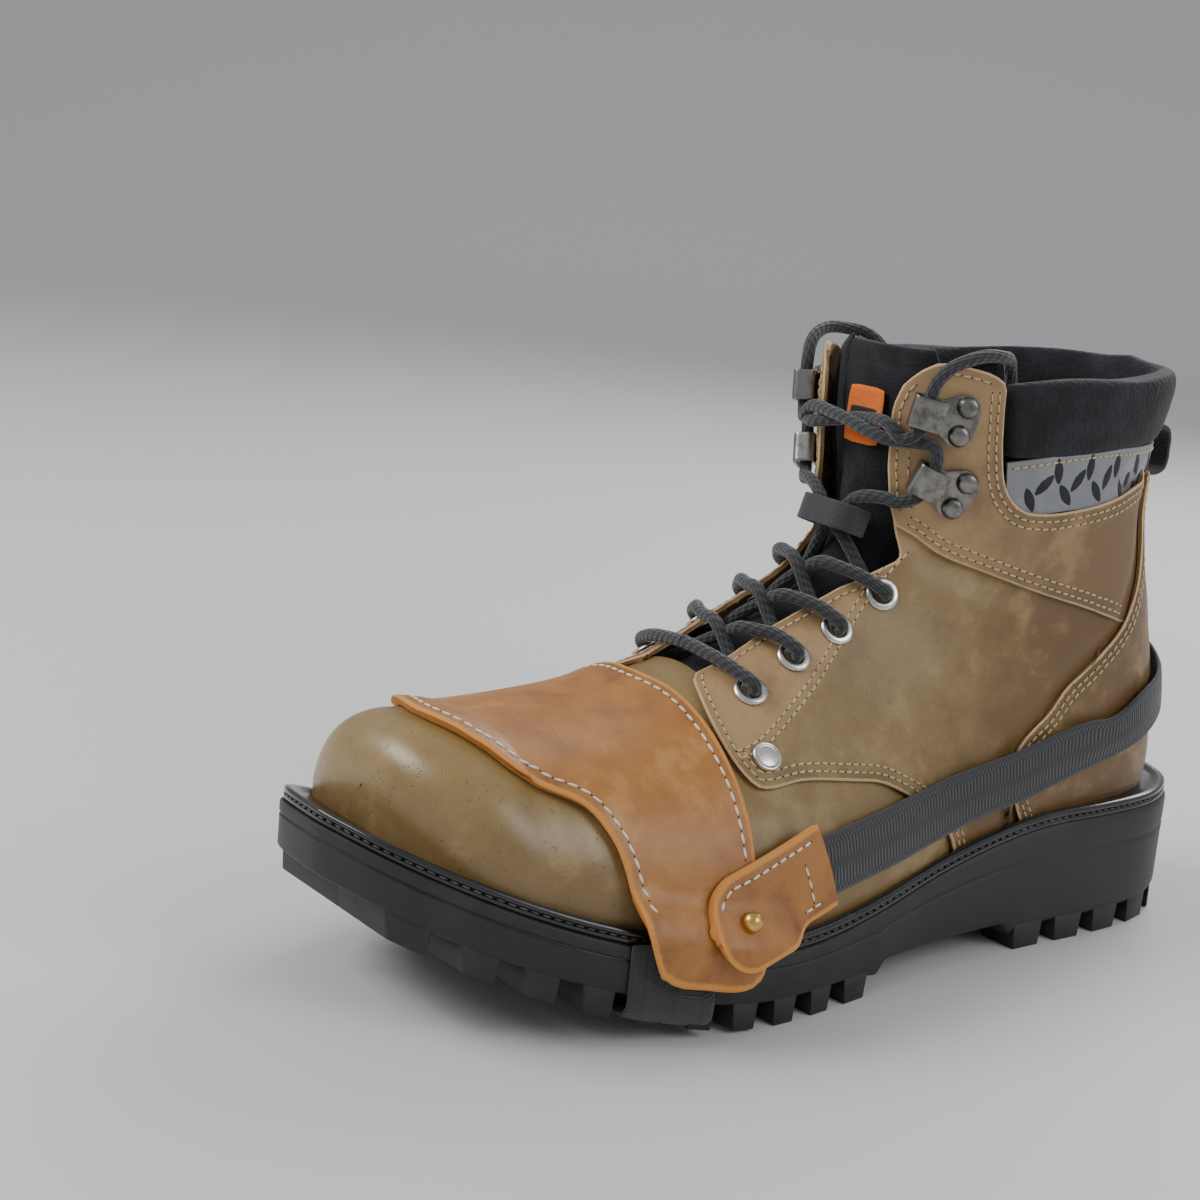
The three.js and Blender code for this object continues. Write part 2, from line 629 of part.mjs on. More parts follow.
function rivetSolid(head, top) {
  const low = top - 0.6;
  return turned([[0, -leather - gap], [rivetShank / 2, -leather - gap], [rivetShank / 2, low],
    [head / 2, low], [head / 2, low + 0.7], [head * 0.34, low + 1.6], [0, low + 2]], 10);
}

function hookSolid() {
  const half = hookWidth / 2;
  const base = new THREE.Shape();
  base.moveTo(hookNeckU, -half);
  base.lineTo(hookRivetU - 7, -half);
  base.lineTo(hookRivetU - 2, -hookRivetPitch / 2 - 3.4);
  base.quadraticCurveTo(hookRivetU + 3.4, -hookRivetPitch / 2 - 3.4, hookRivetU + 4, -hookRivetPitch / 2 + 1);
  base.lineTo(hookRivetU + 4, hookRivetPitch / 2 - 1);
  base.quadraticCurveTo(hookRivetU + 3.4, hookRivetPitch / 2 + 3.4, hookRivetU - 2, hookRivetPitch / 2 + 3.4);
  base.lineTo(hookRivetU - 7, half);
  base.lineTo(hookNeckU, half);
  const sheet = new THREE.ExtrudeGeometry(base, { depth: hookPlate, bevelEnabled: false, curveSegments: 4 });
  let solid = solidOf(sheet.translate(0, 0, gap));
  [-1, 1].forEach((end) => {
    const hole = rod(rivetShank / 2 + gap, -3, 5);
    solid = solid.subtract(solidOf(hole.translate(hookRivetU, end * hookRivetPitch / 2, 0)));
  });
  const top = plateTop + slotRise;
  const outer = hookNeckU - hookPlate;
  const fold = [
    [hookNeckU, gap], [outer, gap + 1], [outer, top], [outer + 1, top + hookPlate],
    [hookNeckU + 7.5, top + hookPlate], [hookNeckU + 8.6, top + hookPlate - 0.9], [hookNeckU + 8.2, top - 0.6],
    [hookNeckU + 7.2, top], [hookNeckU + 0.6, top], [hookNeckU, top - 0.6]];
  const strip = new THREE.ExtrudeGeometry(new THREE.Shape(fold.map(([u, h]) => new THREE.Vector2(u, h))),
    { depth: hookWidth, bevelEnabled: false });
  strip.rotateX(Math.PI / 2).translate(0, half, 0);
  return solid.add(solidOf(strip));
}

sides.forEach(([name, side]) => {
  eyeletPlaces.forEach(([s, phi], k) => {
    add(`eyelet_${name}_${k + 1}`, fitted(turned(eyeletProfile), s, phi * side), steel);
  });
  hookPlaces.forEach(([s, phi], k) => {
    const level = k === 0 ? 'lower' : 'upper';
    const hook = hookSolid().getMesh();
    const g = new THREE.BufferGeometry();
    g.setAttribute('position', new THREE.BufferAttribute(hook.vertProperties, 3));
    g.setIndex(new THREE.BufferAttribute(hook.triVerts, 1));
    add(`hook_${name}_${level}`, fitted(g, s, phi * side), gunmetal);
    [-1, 1].forEach((end) => {
      const rivet = rivetSolid(hookRivetHead, plateTop + gap + 0.6);
      rivet.translate(hookRivetU, end * hookRivetPitch / 2, 0);
      const spot = (end > 0) === (side > 0) ? 'front' : 'back';
      add(`rivet_${name}_${level}_${spot}`, fitted(rivet, s, phi * side), gunmetal);
    });
  });
  add(`vamp_rivet_${name}`,
    fitted(rivetSolid(vampRivetHead, 0.9), vampRivetPlace[0], vampRivetPlace[1] * side), steel);
});

// ---- lacing ----
const laceRadius = laceDiameter / 2;
function tube(points, steps, count = 6) {
  const section = [];
  for (let k = 0; k < count; k += 1) {
    const a = 2 * Math.PI * k / count;
    section.push(new THREE.Vector2(Math.cos(a) * laceRadius, Math.sin(a) * laceRadius));
  }
  const path = new THREE.CatmullRomCurve3(points, false, 'centripetal');
  return solidOf(new THREE.ExtrudeGeometry(new THREE.Shape(section), { steps, extrudePath: path, bevelEnabled: false }));
}
const underRun = -leather - gap - facetDip - laceRadius; // lace centre under the quarter
const overEdge = gap + laceRadius; // lace centre over the quarter
const overFlange = flangeTop + 2 * gap + laceRadius; // lace centre over an eyelet
const crossings = [0.9, 0.9 - strandStep]; // centre depths of the two strands where they cross
const inSlot = plateTop + slip + laceRadius;

const hookPoint = (k, side, u, w, h) => new THREE.Vector3(u, side * w, h)
  .applyMatrix4(placeOn(hookPlaces[k][0], hookPlaces[k][1] * side));

// from under one eyelet, across the throat, to over the eyelet one step up on the other side
function crossStep(k, side, centre) {
  const [s, phi] = eyeletPlaces[k];
  const [next, nextPhi] = eyeletPlaces[k + 1];
  const mid = (s + next) / 2;
  return tube([
    above(s, side * phi, underRun), above(s + 0.1, side * phi * 0.7, underRun),
    above(s + 0.24, side * phi * 0.42, underRun), above(mid, 0, centre),
    above(next - 0.32, -side * 0.19, overEdge - 0.6), above(next - 0.22, -side * 0.29, overEdge + 0.5),
    above(next - 0.08, -side * nextPhi * 0.76, overEdge + 1.4),
    above(next, -side * nextPhi, overFlange)], 8);
}
function throughEyelet(k, side) {
  const [s, phi] = eyeletPlaces[k];
  const top = above(s, side * phi, overFlange);
  const low = above(s, side * phi, underRun);
  const beyond = top.clone().sub(low).setLength(laceRadius * 0.9);
  return tube([top.add(beyond), low.sub(beyond)], 1);
}

function strand(side, level) {
  let solid = null;
  const join = (piece) => {
    solid = solid ? solid.add(piece) : piece;
  };
  let at = side;
  for (let k = 0; k < 3; k += 1) {
    join(throughEyelet(k, at));
    join(crossStep(k, at, crossings[(level + k) % 2]));
    at = -at;
  }
  join(throughEyelet(3, at));
  const [s, phi] = eyeletPlaces[3];
  const keeperDepth = keeperCrossings[(level + 1) % 2];
  join(tube([
    above(s, at * phi, underRun), above(s + 0.15, at * phi * 0.7, underRun),
    above(s + 0.4, at * 0.2, underRun + 0.3), above(keeperSlice, 0, keeperDepth),
    above(keeperSlice + 0.55, -at * 0.22, 0.9), above(8.6, -at * 0.4, overEdge + 0.5),
    hookPoint(0, -at, hookSlotU - 4, -9.5, overEdge + 0.4), hookPoint(0, -at, hookSlotU, -5, inSlot),
    hookPoint(0, -at, hookSlotU, 0, inSlot), hookPoint(0, -at, hookSlotU, 5, inSlot),
    hookPoint(0, -at, hookSlotU - 4, 9.5, overEdge + 0.6), above(10.0, -at * 0.34, overEdge + 0.3),
    above(10.2, 0, crossings[level]), above(10.4, at * 0.34, overEdge + 0.3),
    hookPoint(1, at, hookSlotU - 4, -9.5, overEdge + 0.4), hookPoint(1, at, hookSlotU, -5, inSlot),
    hookPoint(1, at, hookSlotU, 0, inSlot), hookPoint(1, at, hookSlotU, 4.5, inSlot)], 38));
  return solid;
}
const keeperSlice = 7.75;
const [firstSlice, firstPhi] = eyeletPlaces[0];
const bar = tube([
  above(firstSlice, firstPhi, overFlange), above(firstSlice - 0.1, firstPhi * 0.6, overEdge + 0.7),
  above(firstSlice - 0.14, 0, overEdge), above(firstSlice - 0.1, -firstPhi * 0.6, overEdge + 0.7),
  above(firstSlice, -firstPhi, overFlange)], 9);
add('lace', bar.add(strand(1, 0)).add(strand(-1, 1)), blackTextile);

// cloth loop on the tongue that the crossed lace runs through
function keeper() {
  const half = 11;
  const legs = tongueOuter + gap;
  const top = keeperCrossings[0] + laceRadius + slip;
  const wall = 1.1;
  const arch = new THREE.Shape([[half, legs], [half, top - 2], [half - 3, top + wall], [3 - half, top + wall],
    [-half, top - 2], [-half, legs], [wall - half, legs], [wall - half, top - 2], [4 - half, top],
    [half - 4, top], [half - wall, top - 2], [half - wall, legs]].map(([u, h]) => new THREE.Vector2(u, h)));
  const g = new THREE.ExtrudeGeometry(arch, { depth: 8, bevelEnabled: false });
  g.rotateX(Math.PI / 2).translate(0, 4, 0);
  return fitted(g, keeperSlice, 0.001);
}
add('lace_keeper', keeper(), blackTextile);

// ---- webbing pull loop behind the collar ----
const loopSlice = 11.75; // where the loop's root is sewn to the back of the shaft
const backPoint = onLast(loopSlice, Math.PI);
const loopRoot = new THREE.Vector2(backPoint.y + 2 * gap, backPoint.z);
function pullLoop() {
  const wall = 1.7;
  const outer = [[0, -2.2], [7, -7.6], [13, -7], [16, -3], [16, 4], [13, 8.2], [7, 8.4], [0, 2.2]];
  const inner = outer.slice(1, -1).map(([y, z]) => {
    const r = Math.hypot(y - 9, z);
    return [9 + (y - 9) * (r - wall) / r, z * (r - wall) / r];
  });
  const shape = new THREE.Shape(outer.map(([y, z]) => new THREE.Vector2(loopRoot.x + y, loopRoot.y + z)));
  const hole = inner.map(([y, z]) => new THREE.Vector2(loopRoot.x + y, loopRoot.y + z));
  shape.holes.push(new THREE.Path(hole));
  const g = new THREE.ExtrudeGeometry(shape, { depth: fingerLoopWidth, bevelEnabled: false });
  g.translate(0, 0, -fingerLoopWidth / 2);
  const turn = new THREE.Matrix4().makeBasis(
    new THREE.Vector3(0, 1, 0), new THREE.Vector3(0, 0, 1), new THREE.Vector3(1, 0, 0));
  return solidOf(g.applyMatrix4(turn));
}
add('pull_loop', pullLoop(), blackTextile);

// ---- strapped-on shift guard ----
const guardOutline = [
  ...line([[-124, 70], [-127, 50], [-127, 38.5], [-121, 35.5], [-112, 31.5], [-101, 30], [-95.5, 25], [-93, 19],
    [-91, 12], [-87, 1], [-84, -2.8], [-78, -4], [-70, -4], [-62, -4], [-56.5, -2.5], [-54.5, 2]]),
  ...line([[-55, 14], [-54, 27], [-53, 42], [-53, 58], [-55, 72]]),
];
const guardInner = gap;
const guardOuter = guardInner + guardLeather;
let guard = skin(guardOuter, true).subtract(skin(guardInner, true))
  .intersect(across(guardOutline));
const soleRoom = plate(outlinePoints(-elastic - 2 * gap, 44), -1, bootHeight)
  .intersect(between(() => -5, (y) => soleTopAt(y) + weltHeight + gap));
guard = guard.subtract(soleRoom);

const tabInner = guardOuter + 2 * gap;
const stud = onLast(...studPlace);
const studY = stud.y;
const studZ = stud.z;
const tabSlope = Math.atan2(8.5, 29);

// round-ended tab from the stud backwards, as a side-view outline
function tabOutline() {
  const points = [];
  for (let k = 0; k <= 12; k += 1) {
    const a = tabSlope + Math.PI / 2 + Math.PI * k / 12;
    points.push(new THREE.Vector2(studY + Math.cos(a) * tabWidth / 2, studZ + Math.sin(a) * tabWidth / 2));
  }
  const back = new THREE.Vector2(studY + Math.cos(tabSlope) * tabReach, studZ + Math.sin(tabSlope) * tabReach);
  [-1, 1].forEach((edge) => points.push(new THREE.Vector2(
    back.x - Math.sin(tabSlope) * edge * tabWidth / 2, back.y + Math.cos(tabSlope) * edge * tabWidth / 2)));
  return points;
}
const tabLayer = skin(tabInner + tabLeather, true).subtract(skin(tabInner, true));
sides.forEach(([name, side]) => {
  const half = side > 0 ? lateralHalf : medialHalf;
  const [s, phi] = studPlace;
  const flare = flareAt(onLast(s, phi * side));
  guard = guard.subtract(fitted(rod(studNeck / 2 + gap, -8, 14), s, phi * side, flare));
  const tab = tabLayer.intersect(half(tabOutline()))
    .subtract(fitted(rod(studNeck / 2 + 2 * slip, -8, 14), s, phi * side, flare));
  add(`strap_tab_${name}`, tab, guardHide);
  const head = tabInner + tabLeather + 3 * slip;
  const bead = studHead / 2;
  const profile = [[0, guardInner], [studNeck / 2, guardInner], [studNeck / 2, head], [bead * 0.8, head],
    [bead, head + 1], [bead * 0.9, head + 2.2], [bead * 0.5, head + 3.2], [0, head + 3.5]];
  add(`stud_${name}`, fitted(turned(profile, 12), s, phi * side, flare), brass);
});
add('shift_guard', guard, guardHide);

// elastic heel strap: from inside one tab round the heel to the other
const strapLine = line([[-42, 17], [-30, 19.5], [0, 19.5], [26, 19], [70, 20.5], [95, 27.5], [116, 34.5], [165, 50]]);
const strapOutline = [...moved(strapLine, 0, -strapWidth / 2), ...reversed(moved(strapLine, 0, strapWidth / 2))];
const strapInner = 1.9;
add('heel_strap', shell(strapInner, strapInner + elastic).intersect(across(strapOutline)), blackTextile);

// elastic band under the sole, up both sides to the inside of the guard
function footBand() {
  const outerShape = plate(outlinePoints(-gap - elastic, 44), -1, bootHeight)
    .intersect(between((y) => Math.max(springAt(y) + bandGroove - gap - elastic, 0.1), (y) => soleTopAt(y) + weltHeight));
  const innerShape = plate(outlinePoints(-gap, 44), -2, bootHeight + 1)
    .intersect(between((y) => Math.max(springAt(y) + bandGroove - gap - elastic, 0.1) + elastic,
      () => bootHeight));
  return outerShape.subtract(innerShape)
    .intersect(box(-90, 90, bandCentre - bandWidth / 2, bandCentre + bandWidth / 2, -1, 60));
}
add('underfoot_band', footBand(), blackTextile);

// ---- free lace ends: up from the upper hooks, over the collar, down inside to the footbed ----
const tailRoute = [
  [26.93, 17.33, 164.42], [27.6, 17.9, 168], [29.6, 20.2, 172.2], [32, 24.6, 175.2],
  [33.4, 30.5, 176.8], [33, 37, 176.6], [30, 43, 175.4], [26.6, 48, 170], [26.2, 51, 160],
  [25.8, 54.5, 145], [25.4, 58, 128], [25, 61, 110], [24.8, 61.5, 92], [24.6, 59, 75],
  [24.2, 54, 60], [23.2, 46, 50.6], [22, 34, 43.8], [20, 20, 38.4], [17.5, 4, 34.8],
  [15.5, -10, 32.6], [14, -22, 31.4],
].map((p) => new THREE.Vector3(...p));
const tipLength = 20; // hard sleeve on the lace's end
sides.forEach(([name, side]) => {
  const route = tailRoute.map((p) => new THREE.Vector3(p.x * side, p.y, p.z));
  const tail = new THREE.Mesh(geometryOf(tube(route, 28, 8)), blackTextile);
  tail.name = `lace_tail_${name}`;
  const end = route[route.length - 1];
  const along = end.clone().sub(route[route.length - 2]).setZ(0).normalize();
  const sleeve = new THREE.CylinderGeometry(laceRadius * 0.85, laceRadius * 0.85, tipLength, 8);
  const pose = new THREE.Matrix4().makeRotationFromQuaternion(
    new THREE.Quaternion().setFromUnitVectors(new THREE.Vector3(0, 1, 0), along));
  const middle = end.clone().addScaledVector(along, tipLength / 2 + gap);
  middle.z = end.z;
  const tip = new THREE.Mesh(geometryOf(solidOf(sleeve.applyMatrix4(pose.setPosition(middle)))), gunmetal);
  tip.name = `lace_tip_${name}`;
  boot.add(tail, tip);
});

// the group's origin is the middle of the base, the free lace ends left out
const bounds = new THREE.Box3();
anchored.forEach((mesh) => bounds.expandByObject(mesh));
boot.position.set(-(bounds.min.x + bounds.max.x) / 2, -(bounds.min.y + bounds.max.y) / 2, -bounds.min.z);

export default boot;
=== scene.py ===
# %% [markdown]
# # A laced work boot with a strapped-on shift guard
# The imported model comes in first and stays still. Every new piece is made round it, in metres,
# in the same frame, and rides on one of its bodies.

# %% Load the frame
import json
import math

import bpy
import numpy as np
from mathutils import Matrix, Quaternion, Vector
from mathutils.bvhtree import BVHTree
from mathutils.kdtree import KDTree

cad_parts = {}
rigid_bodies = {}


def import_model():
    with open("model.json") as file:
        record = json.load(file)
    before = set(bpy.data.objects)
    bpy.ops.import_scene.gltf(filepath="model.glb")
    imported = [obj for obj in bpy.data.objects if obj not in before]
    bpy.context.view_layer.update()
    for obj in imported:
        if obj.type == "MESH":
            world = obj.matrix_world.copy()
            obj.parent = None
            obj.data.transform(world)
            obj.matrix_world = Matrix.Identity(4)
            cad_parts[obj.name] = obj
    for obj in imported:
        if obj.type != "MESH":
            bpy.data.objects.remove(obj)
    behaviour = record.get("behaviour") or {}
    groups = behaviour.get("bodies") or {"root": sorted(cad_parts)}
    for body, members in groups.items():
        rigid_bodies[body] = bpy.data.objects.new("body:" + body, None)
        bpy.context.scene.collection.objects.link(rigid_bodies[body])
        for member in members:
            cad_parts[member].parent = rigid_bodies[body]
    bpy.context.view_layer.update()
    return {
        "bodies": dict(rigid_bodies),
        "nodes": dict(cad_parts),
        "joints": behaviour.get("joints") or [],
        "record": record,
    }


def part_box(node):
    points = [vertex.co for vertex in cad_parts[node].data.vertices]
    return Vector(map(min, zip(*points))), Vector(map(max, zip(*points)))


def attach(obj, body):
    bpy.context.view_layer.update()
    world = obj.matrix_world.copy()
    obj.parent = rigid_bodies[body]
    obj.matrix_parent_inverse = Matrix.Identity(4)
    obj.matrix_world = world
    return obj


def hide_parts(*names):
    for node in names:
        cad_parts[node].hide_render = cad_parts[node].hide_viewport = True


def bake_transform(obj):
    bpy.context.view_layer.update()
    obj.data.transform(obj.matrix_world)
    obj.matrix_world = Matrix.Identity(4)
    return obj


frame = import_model()

# %% [markdown]
# Shoemakers work in millimetres, so the makers below do too. Two pieces with known places in
# the maker's own numbers, the pull loop and the underfoot band, say how far the frame's origin
# lies from the maker's.

# %% Millimetres and the frame
MM = 0.001
BAND_CENTRE = -80.0  # the underfoot band's middle, along the boot


def middle(name, axis):
    low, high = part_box(name)
    return (low[axis] + high[axis]) / 2 / MM


SHIFT = np.array([middle("pull_loop", 0), middle("underfoot_band", 1) - BAND_CENTRE, 0.0])


def to_frame(points):
    """Maker's millimetres to metres in the frame."""
    return (np.asarray(points, float) + SHIFT) * MM


print("shift in mm:", SHIFT.round(2))

# %% [markdown]
# ## Camera and light
# The boot is seen from the toe end, a little above its collar, by a short telephoto lens. Soft
# light from three wide panels and a pale room shows leather as leather: a big panel in front
# gives the long highlights on the toe, and the ones behind edge the black pieces.

# %% Camera
CAMERA_PLACE = (475.3, -422.8, 228.1)
CAMERA_AIM = (-0.7865, 0.5824, -0.2055)
CAMERA_ROLL = 5.5  # degrees
LENS = 66.75

scene = bpy.context.scene
camera = bpy.data.objects.new("camera", bpy.data.cameras.new("camera"))
scene.collection.objects.link(camera)
camera.location = to_frame(CAMERA_PLACE)
camera.rotation_mode = "QUATERNION"
level = Vector(CAMERA_AIM).to_track_quat("-Z", "Y")
camera.rotation_quaternion = level @ Quaternion((0, 0, 1), math.radians(CAMERA_ROLL))
camera.data.lens = LENS
camera.data.sensor_width = 36
camera.data.clip_start = 0.01
scene.camera = camera

# %% Floor and light
bpy.ops.object.select_all(action="DESELECT")
bpy.ops.mesh.primitive_grid_add(x_subdivisions=120, y_subdivisions=120, size=18, location=(0, 0, 0))
floor = bpy.context.object
floor.name = "floor"
ground = np.empty(len(floor.data.vertices) * 3)
floor.data.vertices.foreach_get("co", ground)
ground = ground.reshape(-1, 3)
far = np.maximum(ground[:, :2] @ [-0.8, 0.6] - 2.0, 0)  # the paper sweeps up well behind the boot
ground[:, 2] = far ** 2 / (far + 1.2)
floor.data.vertices.foreach_set("co", ground.ravel())
floor.data.polygons.foreach_set("use_smooth", [True] * len(floor.data.polygons))


def soft_panel(name, place, aim, size, watts):
    light = bpy.data.lights.new(name, "AREA")
    light.shape = "RECTANGLE"
    light.size, light.size_y = size
    light.energy = watts
    lamp = bpy.data.objects.new(name, light)
    scene.collection.objects.link(lamp)
    lamp.location = place
    lamp.rotation_mode = "QUATERNION"
    lamp.rotation_quaternion = (Vector(aim) - Vector(place)).to_track_quat("-Z", "Y")


soft_panel("front_panel", (-0.55, -0.95, 0.95), (0, -0.05, 0.06), (0.9, 0.5), 15)
soft_panel("side_panel", (1.0, 0.35, 0.75), (0, 0, 0.08), (0.7, 0.7), 6)
soft_panel("rear_panel", (-0.4, 1.0, 0.8), (0, 0.05, 0.1), (0.8, 0.5), 9)
world = bpy.data.worlds.new("room")
scene.world = world
world.use_nodes = True
world.node_tree.nodes["Background"].inputs["Color"].default_value = (0.82, 0.86, 0.92, 1)
world.node_tree.nodes["Background"].inputs["Strength"].default_value = 0.58

# %% [markdown]
# ## The last
# A boot is made round a last, a solid foot form, and so is this one. `slices` cut the last from
# the toe to the collar. Each has a front or top point and a back or bottom point, and the
# formula closes it with rounded sides. `on_last(s, phi)` is a place on the leather: `s` counts
# slices, and `phi` turns from the ridge (0) round the lateral side to the sole (pi).

# %% The last
SLICES = np.array([
    [-112, 39.5, -112, -17.5, 45, 0.62, 2.3, 3.4, 0],
    [-88, 47, -88, -17.5, 51, 0.62, 2.2, 3.4, 1.5],
    [-62, 56, -60, -19, 54, 0.62, 2.0, 3.4, 3],
    [-42, 66.5, -30, -19, 52, 0.64, 1.9, 3.4, 4],
    [-24, 76.5, 8, -22, 46.5, 0.66, 1.85, 3.1, 3.6],
    [-8, 84.5, 50, -26.5, 41, 0.66, 1.85, 2.8, 2.4],
    [3, 91.5, 98, -24, 39.2, 0.66, 1.9, 2.7, 1],
    [8.5, 103.5, 137, -8, 38.5, 0.64, 2.0, 2.5, 0],
    [10, 115.5, 141, 20, 38.5, 0.58, 2.1, 2.4, 0],
    [10.5, 125.5, 134, 54, 39, 0.54, 2.2, 2.3, 0],
    [11, 136, 125.5, 86, 40, 0.5, 2.2, 2.2, 0],
    [12, 147, 127, 114, 41, 0.5, 2.2, 2.2, 0],
    [13, 158, 132.5, 138, 42, 0.5, 2.2, 2.2, 0],
    [14, 172, 133, 165, 42, 0.5, 2.2, 2.2, 0],
])
TOE_POLE = (-142, 12.5)
RIDGE_AT_TOE = -6
DOME = 2.5
FORE_THICK, HEEL_THICK, TOE_SPRING = 20.5, 37.9, 27.7


def smooth(t):
    u = np.clip(t, 0, 1)
    return u * u * (3 - 2 * u)


def spring_at(y):
    return TOE_SPRING * np.maximum((-40 - np.asarray(y, float)) / 110, 0) ** 1.8


def sole_top_at(y):
    y = np.asarray(y, float)
    return FORE_THICK + (HEEL_THICK - FORE_THICK) * smooth((y + 40) / 125) + spring_at(y)


def slice_at(s):
    s = np.asarray(s, float)
    t = np.clip(s - 1, 0, len(SLICES) - 1.0001)
    i = np.floor(t).astype(int)
    f = (t - i)[..., None]
    a, b, c, d = (SLICES[np.clip(i + k, 0, len(SLICES) - 1)] for k in (-1, 0, 1, 2))
    mix = 0.5 * (2 * b + (c - a) * f + (2 * a - 5 * b + 4 * c - d) * f ** 2
                 + (3 * b - a - 3 * c + d) * f ** 3)
    toe = s < 1
    quarter_turn = np.clip(s, 0, 1) * math.pi / 2
    opened = np.sin(quarter_turn) ** (2 / DOME)
    along = 1 - np.cos(quarter_turn)
    mix[..., 0] = np.where(toe, TOE_POLE[0] + (mix[..., 0] - TOE_POLE[0]) * along, mix[..., 0])
    mix[..., 2] = np.where(toe, mix[..., 0], mix[..., 2])
    for k in (1, 3):
        mix[..., k] = np.where(toe, TOE_POLE[1] + (mix[..., k] - TOE_POLE[1]) * opened, mix[..., k])
    mix[..., 4] = np.where(toe, mix[..., 4] * opened, mix[..., 4])
    mix[..., 8] = np.where(toe, RIDGE_AT_TOE * (1 - along), mix[..., 8])
    return mix


def on_last(s, phi):
    s, phi = np.broadcast_arrays(np.asarray(s, float), np.asarray(phi, float))
    phi = (phi + math.pi) % (2 * math.pi) - math.pi
    rows = slice_at(s)
    top_y, top_h, low_y, low_h, half, widest, above, below, ridge = np.moveaxis(rows, -1, 0)
    turn = np.abs(phi)
    c, n = np.abs(np.cos(turn)), np.abs(np.sin(turn))
    upper = turn <= math.pi / 2
    v = np.where(upper, widest * (1 - c ** (2 / above)), widest + (1 - widest) * c ** (2 / below))
    g = n ** (2 / np.where(upper, above, below))
    x = ridge * np.minimum(1, v / widest) + np.where(phi < 0, -1, 1) * half * g
    y = top_y + (low_y - top_y) * v
    return np.stack([x, y, sole_top_at(y) + top_h + (low_h - top_h) * v], -1)


def normal_at(s, phi):
    e = 0.01
    s, phi = np.broadcast_arrays(np.asarray(s, float), np.asarray(phi, float))
    phi = (phi + math.pi) % (2 * math.pi) - math.pi
    side = np.where(phi < 0, -1.0, 1.0)
    turn = np.clip(np.abs(phi), e, math.pi - e)
    along_s = on_last(s + e, side * turn) - on_last(np.maximum(s - e, 0), side * turn)
    along_phi = on_last(s, side * (turn + e)) - on_last(s, side * (turn - e))
    n = np.cross(along_phi, along_s) * side[..., None]
    seam = (np.abs(phi) < e) | (np.abs(phi) > math.pi - e)
    n[..., 0] = np.where(seam, 0, n[..., 0])
    n = np.where((s < 0.02)[..., None], np.array([0.0, -1.0, 0.0]), n)
    return n / np.maximum(np.linalg.norm(n, axis=-1, keepdims=True), 1e-9)


def lay(s, phi, depth=0.0):
    """A place on the last, raised off it along its normal, in maker's millimetres."""
    return on_last(s, phi) + normal_at(s, phi) * np.asarray(depth, float)[..., None]


print("collar height in mm:", on_last(14, 1.5)[2].round(1))

# %% [markdown]
# ## Flat sheets that are rolled and pulled into shape
# Leather, webbing and rubber strips start as flat sheets, and so do these pieces: a grid
# primitive is added and each of its corners is moved to where a formula puts it. The grid keeps
# its UV map, which later tells a weave which way its threads run.

# %% Sheet helpers
SIDES = (("lateral", 1), ("medial", -1))


def deselect():
    bpy.ops.object.select_all(action="DESELECT")


def apply_modifier(piece, kind, **settings):
    bpy.context.view_layer.objects.active = piece
    modifier = piece.modifiers.new(kind.lower(), kind)
    for key, value in settings.items():
        setattr(modifier, key, value)
    bpy.ops.object.modifier_apply(modifier=modifier.name)


def edit(piece):
    """Edit mode with everything selected."""
    deselect()
    piece.select_set(True)
    bpy.context.view_layer.objects.active = piece
    bpy.ops.object.mode_set(mode="EDIT")
    bpy.ops.mesh.select_all(action="SELECT")


def leave_edit():
    bpy.ops.object.mode_set(mode="OBJECT")


def outwards(piece):
    """Turns the faces of a closed piece to point out of it."""
    edit(piece)
    bpy.ops.mesh.normals_make_consistent(inside=False)
    leave_edit()


def thicken(piece, thickness, offset=-1):
    apply_modifier(piece, "SOLIDIFY", thickness=thickness * MM, offset=offset)


def soften(piece, width, segments=2):
    """Rounds the edges where faces meet at more than 50 degrees."""
    apply_modifier(piece, "BEVEL", width=width * MM, segments=segments, limit_method="ANGLE",
                   angle_limit=math.radians(50))


def formed(name, across, along, form, weld=True, flip=False):
    """A grid sheet of across x along faces, each corner moved to form(u, v) in millimetres."""
    deselect()
    bpy.ops.mesh.primitive_grid_add(x_subdivisions=across, y_subdivisions=along, size=1)
    piece = bpy.context.object
    piece.name = piece.data.name = name
    co = np.empty(len(piece.data.vertices) * 3)
    piece.data.vertices.foreach_get("co", co)
    u, v = co.reshape(-1, 3)[:, 0] + 0.5, co.reshape(-1, 3)[:, 1] + 0.5
    piece.data.vertices.foreach_set("co", to_frame(form(u, v)).ravel())
    piece.data.update()
    if weld or flip:
        edit(piece)
        if weld:
            bpy.ops.mesh.remove_doubles(threshold=2e-5)
        if flip:
            bpy.ops.mesh.flip_normals()
        leave_edit()
    return piece


def place_in_mesh(piece):
    """Moves the object's place into its mesh, so that the object sits at the origin."""
    bpy.context.view_layer.update()
    piece.data.transform(piece.matrix_world)
    piece.matrix_world = Matrix.Identity(4)


def smooth_shaded(piece, angle=40):
    deselect()
    piece.select_set(True)
    bpy.context.view_layer.objects.active = piece
    bpy.ops.object.shade_smooth_by_angle(angle=math.radians(angle))


def settle(piece, body, material, stands_for=(), angle=40):
    """The last step for each piece: smooth, given its material, and riding its body; the parts it stands for
    are hidden.
    """
    smooth_shaded(piece, angle)
    piece.data.materials.clear()
    piece.data.materials.append(material)
    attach(piece, body)
    if stands_for:
        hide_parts(*stands_for)
    return piece


def new_piece(name, points, faces, materials, body="root", rounded=True):
    """A piece from corners in metres and the faces between them."""
    mesh = bpy.data.meshes.new(name)
    mesh.from_pydata(points, [], faces)
    mesh.polygons.foreach_set("use_smooth", [rounded] * len(mesh.polygons))
    for material in materials:
        mesh.materials.append(material)
    piece = bpy.data.objects.new(name, mesh)
    scene.collection.objects.link(piece)
    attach(piece, body)
    return piece


